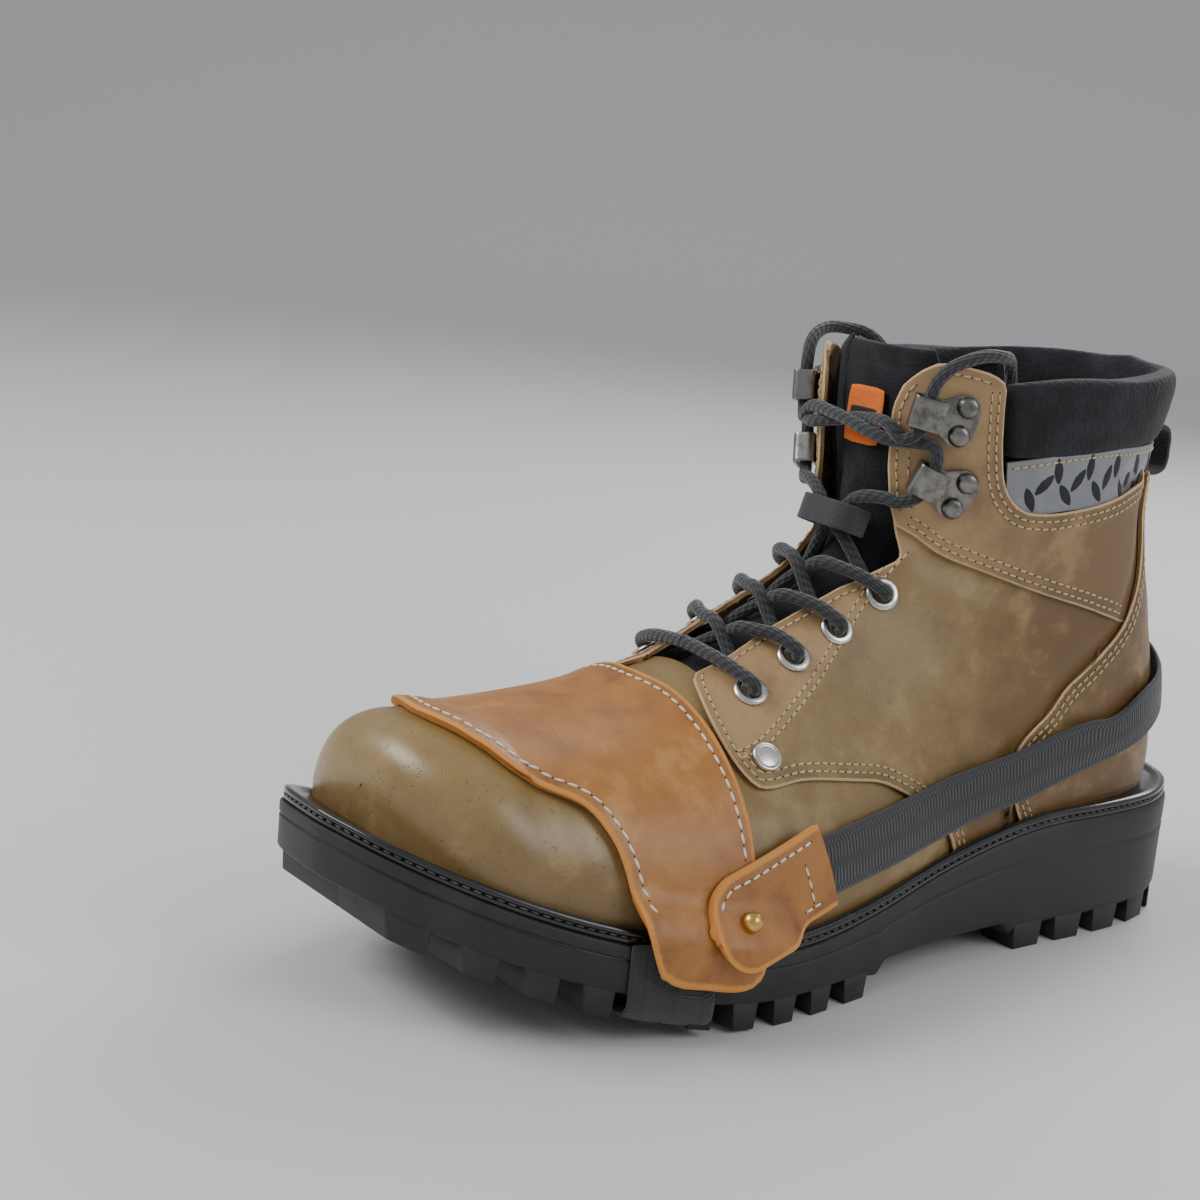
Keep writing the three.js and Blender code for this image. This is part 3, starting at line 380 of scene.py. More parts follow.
def join_copies(name, pieces):
    """Joins pieces into one object."""
    deselect()
    for piece in pieces:
        piece.select_set(True)
    bpy.context.view_layer.objects.active = pieces[0]
    bpy.ops.object.join()
    pieces[0].name = pieces[0].data.name = name
    return pieces[0]


# %% [markdown]
# A smooth line through points is a Catmull-Rom spline. `along` walks any line by its real
# length, so that stitches and rows are evenly spaced.

# %% Lines
def smooth_line(points, per_span=8):
    p = np.asarray(points, float)
    t = np.linspace(0, len(p) - 1, (len(p) - 1) * per_span + 1)
    i = np.minimum(np.floor(t).astype(int), len(p) - 2)
    f = (t - i)[:, None]
    a, b, c, d = (p[np.clip(i + k, 0, len(p) - 1)] for k in (-1, 0, 1, 2))
    return 0.5 * (2 * b + (c - a) * f + (2 * a - 5 * b + 4 * c - d) * f ** 2
                  + (3 * b - a - 3 * c + d) * f ** 3)


def lengths(points):
    """The length walked along a line at each of its points."""
    return np.concatenate([[0], np.cumsum(np.linalg.norm(np.diff(points, axis=0), axis=1))])


def walk(points, t, metric=None):
    """Places on a line at shares t of its length, measured along metric if it is given."""
    at = lengths(points if metric is None else metric)
    return np.stack([np.interp(np.asarray(t) * at[-1], at, points[:, k])
                     for k in range(points.shape[1])], -1)


def rows_at(values, at):
    """The rows of a table at places between its whole numbers."""
    return np.stack([np.interp(at, np.arange(len(values)), values[:, k])
                     for k in range(values.shape[1])], -1)


def resampled(points, step):
    count = max(int(round(lengths(points)[-1] / step)), 2)
    return walk(points, np.linspace(0, 1, count + 1))


def roll(turn, square=0.35, bulge=0.7):
    """A rounded rectangle's section: across from -1 to 1, and out from -1 to 1."""
    c, s = np.cos(turn), np.sin(turn)
    return np.sign(c) * np.abs(c) ** square, np.sign(s) * np.abs(s) ** bulge


def drawn_in(v):
    """Nothing at a strip's two ends, and one between them."""
    return np.where(np.minimum(v, 1 - v) < 1e-6, 0.0, 1.0)


def tube_form(path, radius):
    """form(u, v) of a round cord along a path, with closed ends: u goes round, v along."""
    path = np.asarray(path, float)
    tangent = np.gradient(path, axis=0)
    tangent /= np.linalg.norm(tangent, axis=1, keepdims=True)
    side = np.cross(tangent[0], [0.31, 0.22, 0.93])
    sides = []
    for k in range(len(path)):
        side = side - tangent[k] * side.dot(tangent[k])
        side /= np.linalg.norm(side)
        sides.append(side)
    sides = np.array(sides)
    ups = np.cross(tangent, sides)

    def form(u, v):
        at = v * (len(path) - 1)
        ring = 2 * math.pi * u[:, None]
        outward = rows_at(sides, at) * np.cos(ring) + rows_at(ups, at) * np.sin(ring)
        return rows_at(path, at) + radius * drawn_in(v)[:, None] * outward
    return form


def tube(name, path, radius, around, step):
    """A closed round cord along a path in millimetres. Its end rings are drawn in to a point."""
    even = resampled(np.asarray(path, float), step)
    first, last = even[0], even[-1]
    nudge = 0.02
    even = np.vstack([first, first + (even[1] - first) * nudge, even[1:-1],
                      last - (last - even[-2]) * nudge, last])
    return formed(name, around, len(even) - 1, tube_form(even, radius), flip=True)

# %% [markdown]
# ## Materials
# What several finishes share is a node group: one for how a surface is mottled and grained,
# one for rubbed edges, one for crossed threads. A group only works out colours and heights,
# and each material keeps its own shader.

# %% Node helpers
def put(tree, kind, settings=None, **sockets):
    """Adds a node. A socket's value links if it comes from another node."""
    made = tree.nodes.new("ShaderNode" + kind)
    for key, value in (settings or {}).items():
        setattr(made, key, value)
    for key, value in sockets.items():
        socket = made.inputs[key.replace("_", " ")]
        if isinstance(value, bpy.types.NodeSocket):
            tree.links.new(value, socket)
        else:
            socket.default_value = value
    return made


def set_input(tree, made, index, value):
    if isinstance(value, bpy.types.NodeSocket):
        tree.links.new(value, made.inputs[index])
    else:
        made.inputs[index].default_value = value


def blend_colours(tree, share, a, b, way="MIX"):
    made = tree.nodes.new("ShaderNodeMix")
    made.data_type = "RGBA"
    made.blend_type = way
    for index, value in ((0, share), (6, a), (7, b)):
        set_input(tree, made, index, value)
    return made.outputs[2]


def sums(tree, how, a, b=0.0):
    made = tree.nodes.new("ShaderNodeMath")
    made.operation = how
    set_input(tree, made, 0, a)
    set_input(tree, made, 1, b)
    return made.outputs[0]


def times(tree, a, b):
    return sums(tree, "MULTIPLY", a, b)


def plus(tree, a, b):
    return sums(tree, "ADD", a, b)


def less(tree, a, b):
    return sums(tree, "SUBTRACT", a, b)


def ramped(tree, value, low, high, to_low=0.0, to_high=1.0):
    made = put(tree, "MapRange", {"interpolation_type": "SMOOTHSTEP"}, From_Min=low, From_Max=high,
               To_Min=to_low, To_Max=to_high)
    set_input(tree, made, 0, value)
    return made.outputs[0]


def noise(tree, vector, scale, detail=4.0, rough=0.6):
    made = put(tree, "TexNoise", Scale=scale, Detail=detail, Roughness=rough, Vector=vector)
    return made.outputs[0]


def cells(tree, vector, scale):
    return put(tree, "TexVoronoi", Scale=scale, Vector=vector).outputs["Distance"]


def new_group(name, inputs, outputs):
    tree = bpy.data.node_groups.new(name, "ShaderNodeTree")
    for label, kind, value in inputs:
        socket = tree.interface.new_socket(label, in_out="INPUT", socket_type="NodeSocket" + kind)
        if value is not None:
            socket.default_value = value
    for label, kind in outputs:
        tree.interface.new_socket(label, in_out="OUTPUT", socket_type="NodeSocket" + kind)
    return tree, tree.nodes.new("NodeGroupInput").outputs, tree.nodes.new("NodeGroupOutput").inputs


def use_group(tree, group, **sockets):
    made = tree.nodes.new("ShaderNodeGroup")
    made.node_tree = group
    for key, value in sockets.items():
        set_input(tree, made, key.replace("_", " "), value)
    return made.outputs


def colour(red, green, blue):
    return (red, green, blue, 1)


# %% [markdown]
# Oiled leather is not one colour. Broad clouds go from the dyed tone to a browner one where the
# oil has moved, fine pores are darker, and light scuffs show where it has rubbed. The `hide`
# group mixes them in the piece's own space, so neighbouring panels share one sheet of clouds.

# %% The hide group
hide, given, out = new_group("hide", [
    ("Place", "Vector", None), ("Dyed", "Color", colour(0.3, 0.2, 0.1)),
    ("Brown", "Color", colour(0.1, 0.05, 0.02)), ("Pale", "Color", colour(0.5, 0.4, 0.25)),
    ("Clouds", "Float", 0.5), ("Pores", "Float", 0.5), ("Scuffs", "Float", 0.3), ("Rub", "Float", 0.0)],
    [("Color", "Color"), ("Height", "Float"), ("Roughness", "Float")])
broad = noise(hide, given["Place"], 24, 5, 0.62)
mid = noise(hide, given["Place"], 115, 6, 0.65)
fine = noise(hide, given["Place"], 900, 4, 0.6)
cloud = plus(hide, times(hide, broad, 0.62), times(hide, mid, 0.38))
# The Rub input browns the hide by place alone: each leather sets it towards the heel and the top of the sole.
browned = ramped(hide, plus(hide, cloud, given["Rub"]), 0.46, 0.72)
tone = blend_colours(hide, times(hide, browned, given["Clouds"]), given["Dyed"], given["Brown"])
tone = blend_colours(hide, times(hide, given["Rub"], 0.9), tone, given["Brown"])
faded = ramped(hide, cloud, 0.49, 0.36)
tone = blend_colours(hide, times(hide, faded, 0.5), tone, given["Pale"])
stretch = put(hide, "Mapping", Vector=given["Place"], Scale=(60, 260, 420), Rotation=(0.5, 0.3, 0.2))
scratch = ramped(hide, noise(hide, stretch.outputs[0], 1.0, 5, 0.7), 0.66, 0.74)
scratch = times(hide, scratch, given["Scuffs"])
tone = blend_colours(hide, scratch, tone, given["Pale"])
hair = ramped(hide, cells(hide, given["Place"], 620), 0.24, 0.1)
sparse = ramped(hide, noise(hide, given["Place"], 210, 3), 0.44, 0.62)
pore = times(hide, times(hide, hair, sparse), given["Pores"])
tone = blend_colours(hide, times(hide, pore, 0.75), tone, given["Brown"])
hide.links.new(tone, out["Color"])
height = less(hide, times(hide, fine, 0.35), times(hide, pore, 0.9))
height = plus(hide, height, times(hide, mid, 0.8))
hide.links.new(height, out["Height"])
rough = plus(hide, times(hide, fine, 0.14), times(hide, scratch, 0.2))
rough = less(hide, rough, times(hide, given["Rub"], 0.08))
hide.links.new(rough, out["Roughness"])
print("hide group:", len(hide.nodes), "nodes")

# %% [markdown]
# Every cut panel carries an `edge` attribute, its distance in millimetres from the nearest cut
# edge. The outermost half millimetre shows raw, pale fibre, and just inside it the hide is
# pressed darker by the stitching machine's foot.

# %% The edge group
edge_wear, given, out = new_group("edge_wear", [
    ("Color", "Color", None), ("Raw", "Color", colour(0.6, 0.4, 0.2)), ("Place", "Vector", None),
    ("Edge", "Float", 9.0), ("Width", "Float", 0.7), ("Pressed", "Float", 0.3)],
    [("Color", "Color"), ("Raw", "Float")])
ragged = times(edge_wear, less(edge_wear, noise(edge_wear, given["Place"], 700, 4), 0.5), 0.9)
at = plus(edge_wear, given["Edge"], ragged)
raw = less(edge_wear, 1.0, ramped(edge_wear, sums(edge_wear, "DIVIDE", at, given["Width"]), 0.6, 1.2))
near = less(edge_wear, 1.0, ramped(edge_wear, given["Edge"], 1.0, 5.5))
pressed = times(edge_wear, near, given["Pressed"])
darker = blend_colours(edge_wear, pressed, given["Color"], colour(0.55, 0.5, 0.42), "MULTIPLY")
edge_wear.links.new(blend_colours(edge_wear, raw, darker, given["Raw"]), out["Color"])
edge_wear.links.new(raw, out["Raw"])
print("edge group:", len(edge_wear.nodes), "nodes")

# %% [markdown]
# Woven and braided cloth is threads that pass over and under each other. The `threads` group
# draws them along the UV map, which runs with each strip, and hands back their height.

# %% The threads group
threads, given, out = new_group("threads", [
    ("Along", "Vector", None), ("Across Count", "Float", 20.0), ("Along Count", "Float", 100.0),
    ("Slant", "Float", 0.0)], [("Height", "Float"), ("Thread", "Float")])
parts = put(threads, "SeparateXYZ", Vector=given["Along"]).outputs
slanted = times(threads, parts["X"], given["Across Count"])
run = times(threads, parts["Y"], given["Along Count"])
one = plus(threads, slanted, times(threads, run, given["Slant"]))
two = less(threads, run, times(threads, slanted, given["Slant"]))
wave_one = sums(threads, "SINE", times(threads, one, 2 * math.pi))
wave_two = sums(threads, "SINE", times(threads, two, 2 * math.pi))
woven = times(threads, wave_one, wave_two)
threads.links.new(ramped(threads, woven, -1, 1), out["Height"])
threads.links.new(ramped(threads, woven, -0.2, 0.5), out["Thread"])
print("threads group:", len(threads.nodes), "nodes")


# %% Material helpers
def new_material(name):
    material = bpy.data.materials.new(name)
    material.use_nodes = True
    tree = material.node_tree
    shader = tree.nodes["Principled BSDF"]
    return material, tree, shader


def place_of(tree):
    return put(tree, "TexCoord").outputs["Object"]


def uv_of(tree):
    return put(tree, "TexCoord").outputs["UV"]


def bump(tree, shader, height, strength, distance):
    made = put(tree, "Bump", Strength=strength, Distance=distance, Height=height)
    tree.links.new(made.outputs[0], shader.inputs["Normal"])


def leather(name, dyed, brown, pale, raw, clouds=0.8, pores=0.8, scuffs=0.3, roughness=0.42,
            width=0.7, pressed=0.35, coat=0.12, heel_and_sole_browning=0.0, tan_facing=False):
    """Oiled leather with cut edges. heel_and_sole_browning browns it by place alone, towards the heel and the
    top of the sole.
    """
    material, tree, shader = new_material(name)
    place = place_of(tree)
    axes = put(tree, "SeparateXYZ", Vector=place).outputs
    back = ramped(tree, axes["Y"], 0.02, 0.125, 0.0, heel_and_sole_browning)
    low = ramped(tree, axes["Z"], 0.075, 0.03, 0.0, heel_and_sole_browning * 0.7)
    browning = sums(tree, "MAXIMUM", back, low)
    dye = dyed
    if tan_facing:
        facing = put(tree, "Attribute", {"attribute_name": "facing"}).outputs["Fac"]
        dye = blend_colours(tree, facing, dyed, tan_facing)
        browning = times(tree, browning, less(tree, 1.0, times(tree, facing, 0.8)))
    body = use_group(tree, hide, Place=place, Dyed=dye, Brown=brown, Pale=pale, Clouds=clouds,
                     Pores=pores, Scuffs=scuffs, Rub=browning)
    edge = put(tree, "Attribute", {"attribute_name": "edge"}).outputs["Fac"]
    worn = use_group(tree, edge_wear, Color=body["Color"], Raw=raw, Place=place, Edge=edge,
                     Width=width, Pressed=pressed)
    tree.links.new(worn["Color"], shader.inputs["Base Color"])
    rough = plus(tree, body["Roughness"], roughness)
    tree.links.new(plus(tree, rough, times(tree, worn["Raw"], 0.3)), shader.inputs["Roughness"])
    shader.inputs["Coat Weight"].default_value = coat
    shader.inputs["Coat Roughness"].default_value = 0.38
    fuzz = times(tree, times(tree, noise(tree, place, 2600, 3), worn["Raw"]), 1.2)
    bump(tree, shader, plus(tree, body["Height"], fuzz), 0.32, 0.0004)
    return material


def cloth(name, dark, light, across_count, along_count, slant, strength, distance):
    """Woven cloth whose threads follow the UV map."""
    material, tree, shader = new_material(name)
    woven = use_group(tree, threads, Along=uv_of(tree), Across_Count=across_count,
                      Along_Count=along_count, Slant=slant)
    dust = ramped(tree, noise(tree, place_of(tree), 60, 5), 0.35, 0.8, 0.0, 0.5)
    tone = blend_colours(tree, woven["Thread"], dark, light)
    tone = blend_colours(tree, times(tree, dust, 0.35), tone, light)
    tree.links.new(tone, shader.inputs["Base Color"])
    shader.inputs["Roughness"].default_value = 0.85
    shader.inputs["Sheen Weight"].default_value = 0.25
    shader.inputs["Sheen Roughness"].default_value = 0.6
    bump(tree, shader, woven["Height"], strength, distance)
    return material


def metal(name, tone, tarnish, roughness):
    material, tree, shader = new_material(name)
    place = place_of(tree)
    age = ramped(tree, noise(tree, place, 240, 6, 0.7), 0.4, 0.7)
    tree.links.new(blend_colours(tree, age, tone, tarnish), shader.inputs["Base Color"])
    shader.inputs["Metallic"].default_value = 1.0
    worn = noise(tree, place, 900, 4)
    rough = plus(tree, times(tree, age, 0.16), times(tree, worn, 0.12))
    tree.links.new(plus(tree, rough, roughness - 0.08), shader.inputs["Roughness"])
    bump(tree, shader, worn, 0.2, 0.00015)
    return material


def rubber(name, tone, dust_tone, roughness, dust=0.4, strength=0.25, coat=0.0):
    material, tree, shader = new_material(name)
    place = place_of(tree)
    dusty = ramped(tree, noise(tree, place, 42, 7, 0.7), 0.45, 0.75)
    specks = ramped(tree, noise(tree, place, 1500, 3), 0.6, 0.75)
    share = times(tree, plus(tree, dusty, times(tree, specks, 0.3)), dust)
    tree.links.new(blend_colours(tree, share, tone, dust_tone), shader.inputs["Base Color"])
    tree.links.new(plus(tree, times(tree, dusty, 0.18), roughness), shader.inputs["Roughness"])
    shader.inputs["Coat Weight"].default_value = coat
    shader.inputs["Coat Roughness"].default_value = 0.25
    grain = plus(tree, noise(tree, place, 1100, 4), times(tree, noise(tree, place, 130, 4), 0.8))
    bump(tree, shader, grain, strength, 0.0003)
    return material


def plain_cloth(name, tone, light, scale=900.0, roughness=0.9, strength=0.5):
    """Cloth whose weave is too fine or too crumpled to follow: knit cells and nap."""
    material, tree, shader = new_material(name)
    place = place_of(tree)
    knit = cells(tree, place, scale)
    nap = noise(tree, place, 90, 5)
    napped = blend_colours(tree, ramped(tree, nap, 0.4, 0.75, 0.0, 0.7), tone, light)
    tree.links.new(napped, shader.inputs["Base Color"])
    shader.inputs["Roughness"].default_value = roughness
    shader.inputs["Sheen Weight"].default_value = 0.08
    shader.inputs["Specular IOR Level"].default_value = 0.3
    bump(tree, shader, plus(tree, knit, nap), strength, 0.0005)
    return material


# %% The finishes
OLIVE = colour(0.225, 0.142, 0.045)
OLIVE_BROWN = colour(0.110, 0.052, 0.016)
OLIVE_PALE = colour(0.36, 0.25, 0.11)
TAN = colour(0.37, 0.232, 0.105)
RAW_EDGE = colour(0.56, 0.37, 0.19)
toe_leather = leather("toe_leather", colour(0.262, 0.172, 0.060), OLIVE_BROWN, OLIVE_PALE, RAW_EDGE,
                      clouds=0.35, pores=1.0, scuffs=0.05, roughness=0.3, coat=0.25, heel_and_sole_browning=0.3)
quarter_leather = leather("quarter_leather", OLIVE, OLIVE_BROWN, OLIVE_PALE, RAW_EDGE, clouds=0.75,
                          pores=0.7, scuffs=0.2, heel_and_sole_browning=0.4, tan_facing=TAN)
panel_leather = leather("panel_leather", colour(0.33, 0.215, 0.10), OLIVE_BROWN, TAN, RAW_EDGE,
                        clouds=0.6, pores=0.5, scuffs=0.2, heel_and_sole_browning=0.5, tan_facing=TAN)
counter_leather = leather("counter_leather", colour(0.19, 0.112, 0.036), colour(0.10, 0.046, 0.014),
                          OLIVE_PALE, RAW_EDGE, clouds=0.6, pores=0.5, scuffs=0.12, heel_and_sole_browning=0.2)
guard_hide = leather("guard_hide", colour(0.37, 0.150, 0.030), colour(0.165, 0.052, 0.010),
                     colour(0.58, 0.30, 0.10), colour(0.62, 0.25, 0.05), clouds=0.9, pores=0.3, scuffs=0.6,
                     roughness=0.4, width=1.5, pressed=0.2, coat=0.1)
sole_rubber = rubber("sole_rubber", colour(0.012, 0.012, 0.013), colour(0.07, 0.066, 0.062), 0.5, 0.3)
welt_rubber = rubber("welt_rubber", colour(0.008, 0.008, 0.009), colour(0.06, 0.055, 0.05), 0.2, 0.18,
                     0.12, 0.35)
braid = cloth("braid", colour(0.006, 0.006, 0.007), colour(0.026, 0.026, 0.030), 6.0, 1.0, 0.5, 0.8, 0.0004)
nickel = metal("nickel", colour(0.72, 0.70, 0.66), colour(0.40, 0.38, 0.35), 0.26)
gunmetal = metal("gunmetal", colour(0.26, 0.25, 0.235), colour(0.12, 0.115, 0.105), 0.32)
brass = metal("brass", colour(0.78, 0.50, 0.17), colour(0.55, 0.32, 0.09), 0.24)
inner_steel = metal("inner_steel", colour(0.55, 0.56, 0.57), colour(0.3, 0.3, 0.3), 0.4)
lining_cloth = plain_cloth("lining_cloth", colour(0.008, 0.008, 0.010), colour(0.03, 0.03, 0.035))
pad_cloth = plain_cloth("pad_cloth", colour(0.007, 0.007, 0.009), colour(0.028, 0.028, 0.034), 620, 0.82)
tongue_cloth = plain_cloth("tongue_cloth", colour(0.006, 0.006, 0.008), colour(0.024, 0.024, 0.029),
                           1300, 0.85)
webbing = cloth("webbing", colour(0.006, 0.006, 0.007), colour(0.026, 0.026, 0.030), 14, 34, 0.0, 0.8, 0.0004)
patch_cloth = plain_cloth("patch_cloth", colour(0.72, 0.135, 0.012), colour(0.86, 0.25, 0.05), 1900, 0.7, 0.4)
inlay_cloth = plain_cloth("inlay_cloth", colour(0.012, 0.012, 0.014), colour(0.03, 0.03, 0.035), 1900,
                          0.7, 0.4)
tip_plastic = rubber("tip_plastic", colour(0.008, 0.008, 0.009), colour(0.03, 0.03, 0.03), 0.3, 0.2, 0.1)
board = plain_cloth("board", colour(0.36, 0.24, 0.12), colour(0.5, 0.37, 0.2), 1400)
thread_cream = plain_cloth("thread_cream", colour(0.50, 0.38, 0.20), colour(0.66, 0.54, 0.33), 2400, 0.7, 0.3)
thread_white = plain_cloth("thread_white", colour(0.74, 0.68, 0.56), colour(0.85, 0.80, 0.70), 2400, 0.7, 0.3)
# near-black: painted shade inside the needle holes
needle_hole_shade = plain_cloth("needle_hole_shade", colour(0.01, 0.006, 0.003), colour(0.02, 0.012, 0.006))
floor_paint, _, floor_shader = new_material("pale_floor")
floor_shader.inputs["Base Color"].default_value = colour(0.62, 0.61, 0.59)
floor_shader.inputs["Roughness"].default_value = 0.7
floor.data.materials.append(floor_paint)
print("materials:", len(bpy.data.materials))

# %% [markdown]
# ## Cutting a panel to its pattern
# A seam is drawn as the boot is seen from the side: distance along the boot and height above
# the sole. `to_chart` finds where each of its points lies on the last. A panel has four sides,
# and a Coons patch fills them with rows of quads that run with its edges, which a trimmed grid
# would not do. Rows are close together at the cut edges, where the leather rounds over.

# %% Seams on the last
FINE_S = np.linspace(0.02, 14, 1399)
FINE_ROWS = slice_at(FINE_S)


def side_line(points):
    """A smooth seam through side-view points, as (y, height above the sole)."""
    p = np.array(points, float)
    p[:, 1] += sole_top_at(p[:, 0])
    p = smooth_line(p)
    p[:, 1] -= sole_top_at(p[:, 0])
    return p


def to_chart(side_points):
    """Side-view points to (s, phi) on the lateral side."""
    top_y, top_h, low_y, low_h = FINE_ROWS[:, :4].T
    found = []
    for y, h in side_points:
        cross = (low_y - top_y) * (h - top_h) - (low_h - top_h) * (y - top_y)
        dy, dh = low_y - top_y, low_h - top_h
        share = ((y - top_y) * dy + (h - top_h) * dh) / (dy * dy + dh * dh)
        hits = np.where(np.diff(np.sign(cross)) != 0)[0]
        if len(hits) == 0:
            hits = np.array([np.argmin(np.abs(cross))])
        k = hits[np.argmin(np.abs(share[hits] - 0.5))]
        k = min(k, len(FINE_S) - 2)
        f = cross[k] / (cross[k] - cross[k + 1] + 1e-12)
        f = min(max(f, 0.0), 1.0)
        s = FINE_S[k] + f * (FINE_S[k + 1] - FINE_S[k])
        v = min(max(share[k] + f * (share[k + 1] - share[k]), 0.0), 1.0)
        widest, above, below = slice_at(s)[5:8]
        if v < widest:
            phi = math.acos(min(max(1 - v / widest, 0), 1) ** (above / 2))
        else:
            phi = math.pi - math.acos(min(max((v - widest) / (1 - widest), 0), 1) ** (below / 2))
        found.append((s, phi))
    return np.array(found)


def phi_at_width(s, half):
    """Where the slice s is half as wide as this, in front of its widest place."""
    turns = np.linspace(0, 1.4, 160)
    return np.array([np.interp(w, on_last(at, turns)[:, 0], turns)
                     for at, w in np.broadcast(np.asarray(s, float), np.asarray(half, float))])


THROAT = np.array([
    [3.9, 11], [4.3, 12], [5.2, 12], [6.0, 13], [6.6, 14], [7.2, 17], [7.7, 20.5], [8.05, 18],
    [8.5, 16], [9.2, 15], [10.8, 15], [11.4, 17], [11.8, 21], [12.1, 27], [12.5, 34], [13.6, 40]])


def throat_edge(start, end, count=40):
    s = np.linspace(start, end, count)
    return np.stack([s, phi_at_width(s, np.interp(s, THROAT[:, 0], THROAT[:, 1]))], -1)


quarter_low = side_line([
    (-33, 84), (-41, 68), (-47, 61), (-50, 54), (-50, 47), (-46.5, 41.5), (-41, 40.5),
    (-29, 41), (-11, 37), (1, 33), (12, 26), (21, 19), (29, 10), (33, 0), (35, -26)])
ankle_seam = side_line([
    (12.5, 103), (15, 99.5), (22, 94.5), (30, 87.5), (43, 80.5), (61, 72), (81, 65), (99, 59.5)])
counter_seam = side_line([
    (68, -26), (65, -4), (59, 8), (56, 18), (59, 27), (70, 34), (77, 41), (88, 49),
    (99, 59.5), (105, 71), (109, 85), (112, 104)])
panel_top = side_line([(4, 150), (11, 146), (18, 145.5), (27, 143), (34, 140), (38, 136.5)])
panel_rear = side_line([
    (38, 136.5), (38.5, 127), (40.5, 115), (44, 105), (50, 98.5), (58, 96.2), (70, 96),
    (85, 98), (97, 101), (112, 104)])
collar_low = side_line([(42.5, 113.2), (62, 110.5), (89, 111), (112, 112), (160, 112)])
collar_top = side_line([(38.5, 137), (60, 136), (90, 134.5), (120, 135.5), (165, 136)])
print("ankle seam on the last:", to_chart(ankle_seam[[0, -1]]).round(2).tolist())

# %% Panels
EDGE_STEPS = np.array([0, 0.2, 0.5, 0.9, 1.4, 2.0, 2.7, 3.5, 4.5])
EDGE_ROUND = 0.75  # how far the cut edge rounds over


def coons(bottom, right, top, left):
    """A chart patch between four chart lines. bottom and top run along u, left and right along v."""
    metrics = [on_last(line[:, 0], line[:, 1]) for line in (bottom, right, top, left)]

    def form(u, v):
        low, high = walk(bottom, u, metrics[0]), walk(top, u, metrics[2])
        near, far = walk(left, v, metrics[3]), walk(right, v, metrics[1])
        u, v = u[:, None], v[:, None]
        return ((1 - v) * low + v * high + (1 - u) * near + u * far
                - (1 - u) * (1 - v) * bottom[0] - u * (1 - v) * bottom[-1]
                - (1 - u) * v * top[0] - u * v * top[-1])
    return form


def graded(length, step, first, last):
    """Shares of a length, close together at the ends that are cut edges."""
    low = EDGE_STEPS if first else np.array([0.0])
    high = length - (EDGE_STEPS if last else np.array([0.0]))
    inner = np.linspace(low[-1], high[-1], max(int((high[-1] - low[-1]) / step), 1) + 1)
    return np.unique(np.concatenate([low, inner, high]).round(4)) / length


def nearest(points, marks):
    """How far each point is from the nearest mark."""
    tree = KDTree(len(marks))
    for k, mark in enumerate(marks):
        tree.insert(mark, k)
    tree.balance()
    return np.array([tree.find(point)[2] for point in points])


def distance_to(points, lines):
    """How far each point is from the nearest of the lines, in millimetres."""
    return nearest(points, np.vstack([resampled(line, 0.2) for line in lines]))


def rounded_over(distance):
    short = 1 - np.clip(distance / EDGE_ROUND, 0, 1)
    return -EDGE_ROUND * (1 - np.sqrt(np.maximum(1 - short ** 2, 0)))


def mark(piece, name, values):
    """A number at each corner of the mesh, for its material to read."""
    attribute = piece.data.attributes.new(name, "FLOAT", "POINT")
    attribute.data.foreach_set("value", np.asarray(values, np.float32))


def corners(piece):
    co = np.empty(len(piece.data.vertices) * 3)
    piece.data.vertices.foreach_get("co", co)
    return co.reshape(-1, 3) / MM - SHIFT


def panel(name, sides, cut, depth_at, thickness=1.7, step=2.6, side=1, facing=None):
    """A leather panel on the last. sides are its bottom, right, top and left chart lines, cut says
    which of them show a cut edge, and depth_at(points) lifts or sinks its face."""
    bottom, right, top, left = sides
    lines = [on_last(line[:, 0], line[:, 1]) for line in sides]
    spans = [lengths(line)[-1] for line in lines]
    us = graded(max(spans[0], spans[2]), step, cut[3], cut[1])
    vs = graded(max(spans[1], spans[3]), step, cut[0], cut[2])
    patch = coons(*sides)
    steps = np.linspace(0, 1, len(us)), np.linspace(0, 1, len(vs))
    kept = {}

    def form(u, v):
        chart = patch(np.interp(u, steps[0], us), np.interp(v, steps[1], vs))
        s, phi = chart[:, 0], chart[:, 1]
        flat = on_last(s, phi)
        shown = [line for line, is_cut in zip(lines, cut) if is_cut]
        away = distance_to(flat, shown) if shown else np.full(len(s), 9.0)
        depth = depth_at(flat) + rounded_over(away)
        kept["edge"], kept["flat"] = away, flat
        return lay(s, phi * side, depth)

    piece = formed(name, len(us) - 1, len(vs) - 1, form, weld=False)
    mark(piece, "edge", kept["edge"])
    if facing:
        mark(piece, "facing", facing(kept["flat"]))
    face_out(piece)
    thicken(piece, thickness)
    return piece


def face_out(piece):
    """Turns a sheet's faces to point away from the boot's middle line at their height."""
    normals = np.empty(len(piece.data.polygons) * 3)
    centres = np.empty_like(normals)
    piece.data.polygons.foreach_get("normal", normals)
    piece.data.polygons.foreach_get("center", centres)
    normals, centres = normals.reshape(-1, 3), centres.reshape(-1, 3) / MM - SHIFT
    hub = np.stack([centres[:, 0] * 0, np.clip(centres[:, 1], -95, 70), 60 + centres[:, 2] * 0], -1)
    if (normals * (centres - hub)).sum() < 0:
        edit(piece)
        bpy.ops.mesh.flip_normals()
        leave_edit()


def between_lines(value, low, high):
    return smooth((value - low) / (high - low))


def seam_height(seam, y):
    order = np.argsort(seam[:, 0])
    return np.interp(y, seam[order, 0], seam[order, 1])


def inside(polygon, points):
    """Which side-view points lie inside a closed outline."""
    x, y = points[:, 0], points[:, 1]
    hit = np.zeros(len(points), bool)
    for (x0, y0), (x1, y1) in zip(polygon, np.roll(polygon, -1, axis=0)):
        crosses = (y0 > y) != (y1 > y)
        hit ^= crosses & (x < (x1 - x0) * (y - y0) / (y1 - y0 + 1e-12) + x0)
    return hit


def side_view(points):
    return np.stack([points[:, 1], points[:, 2] - sole_top_at(points[:, 1])], -1)


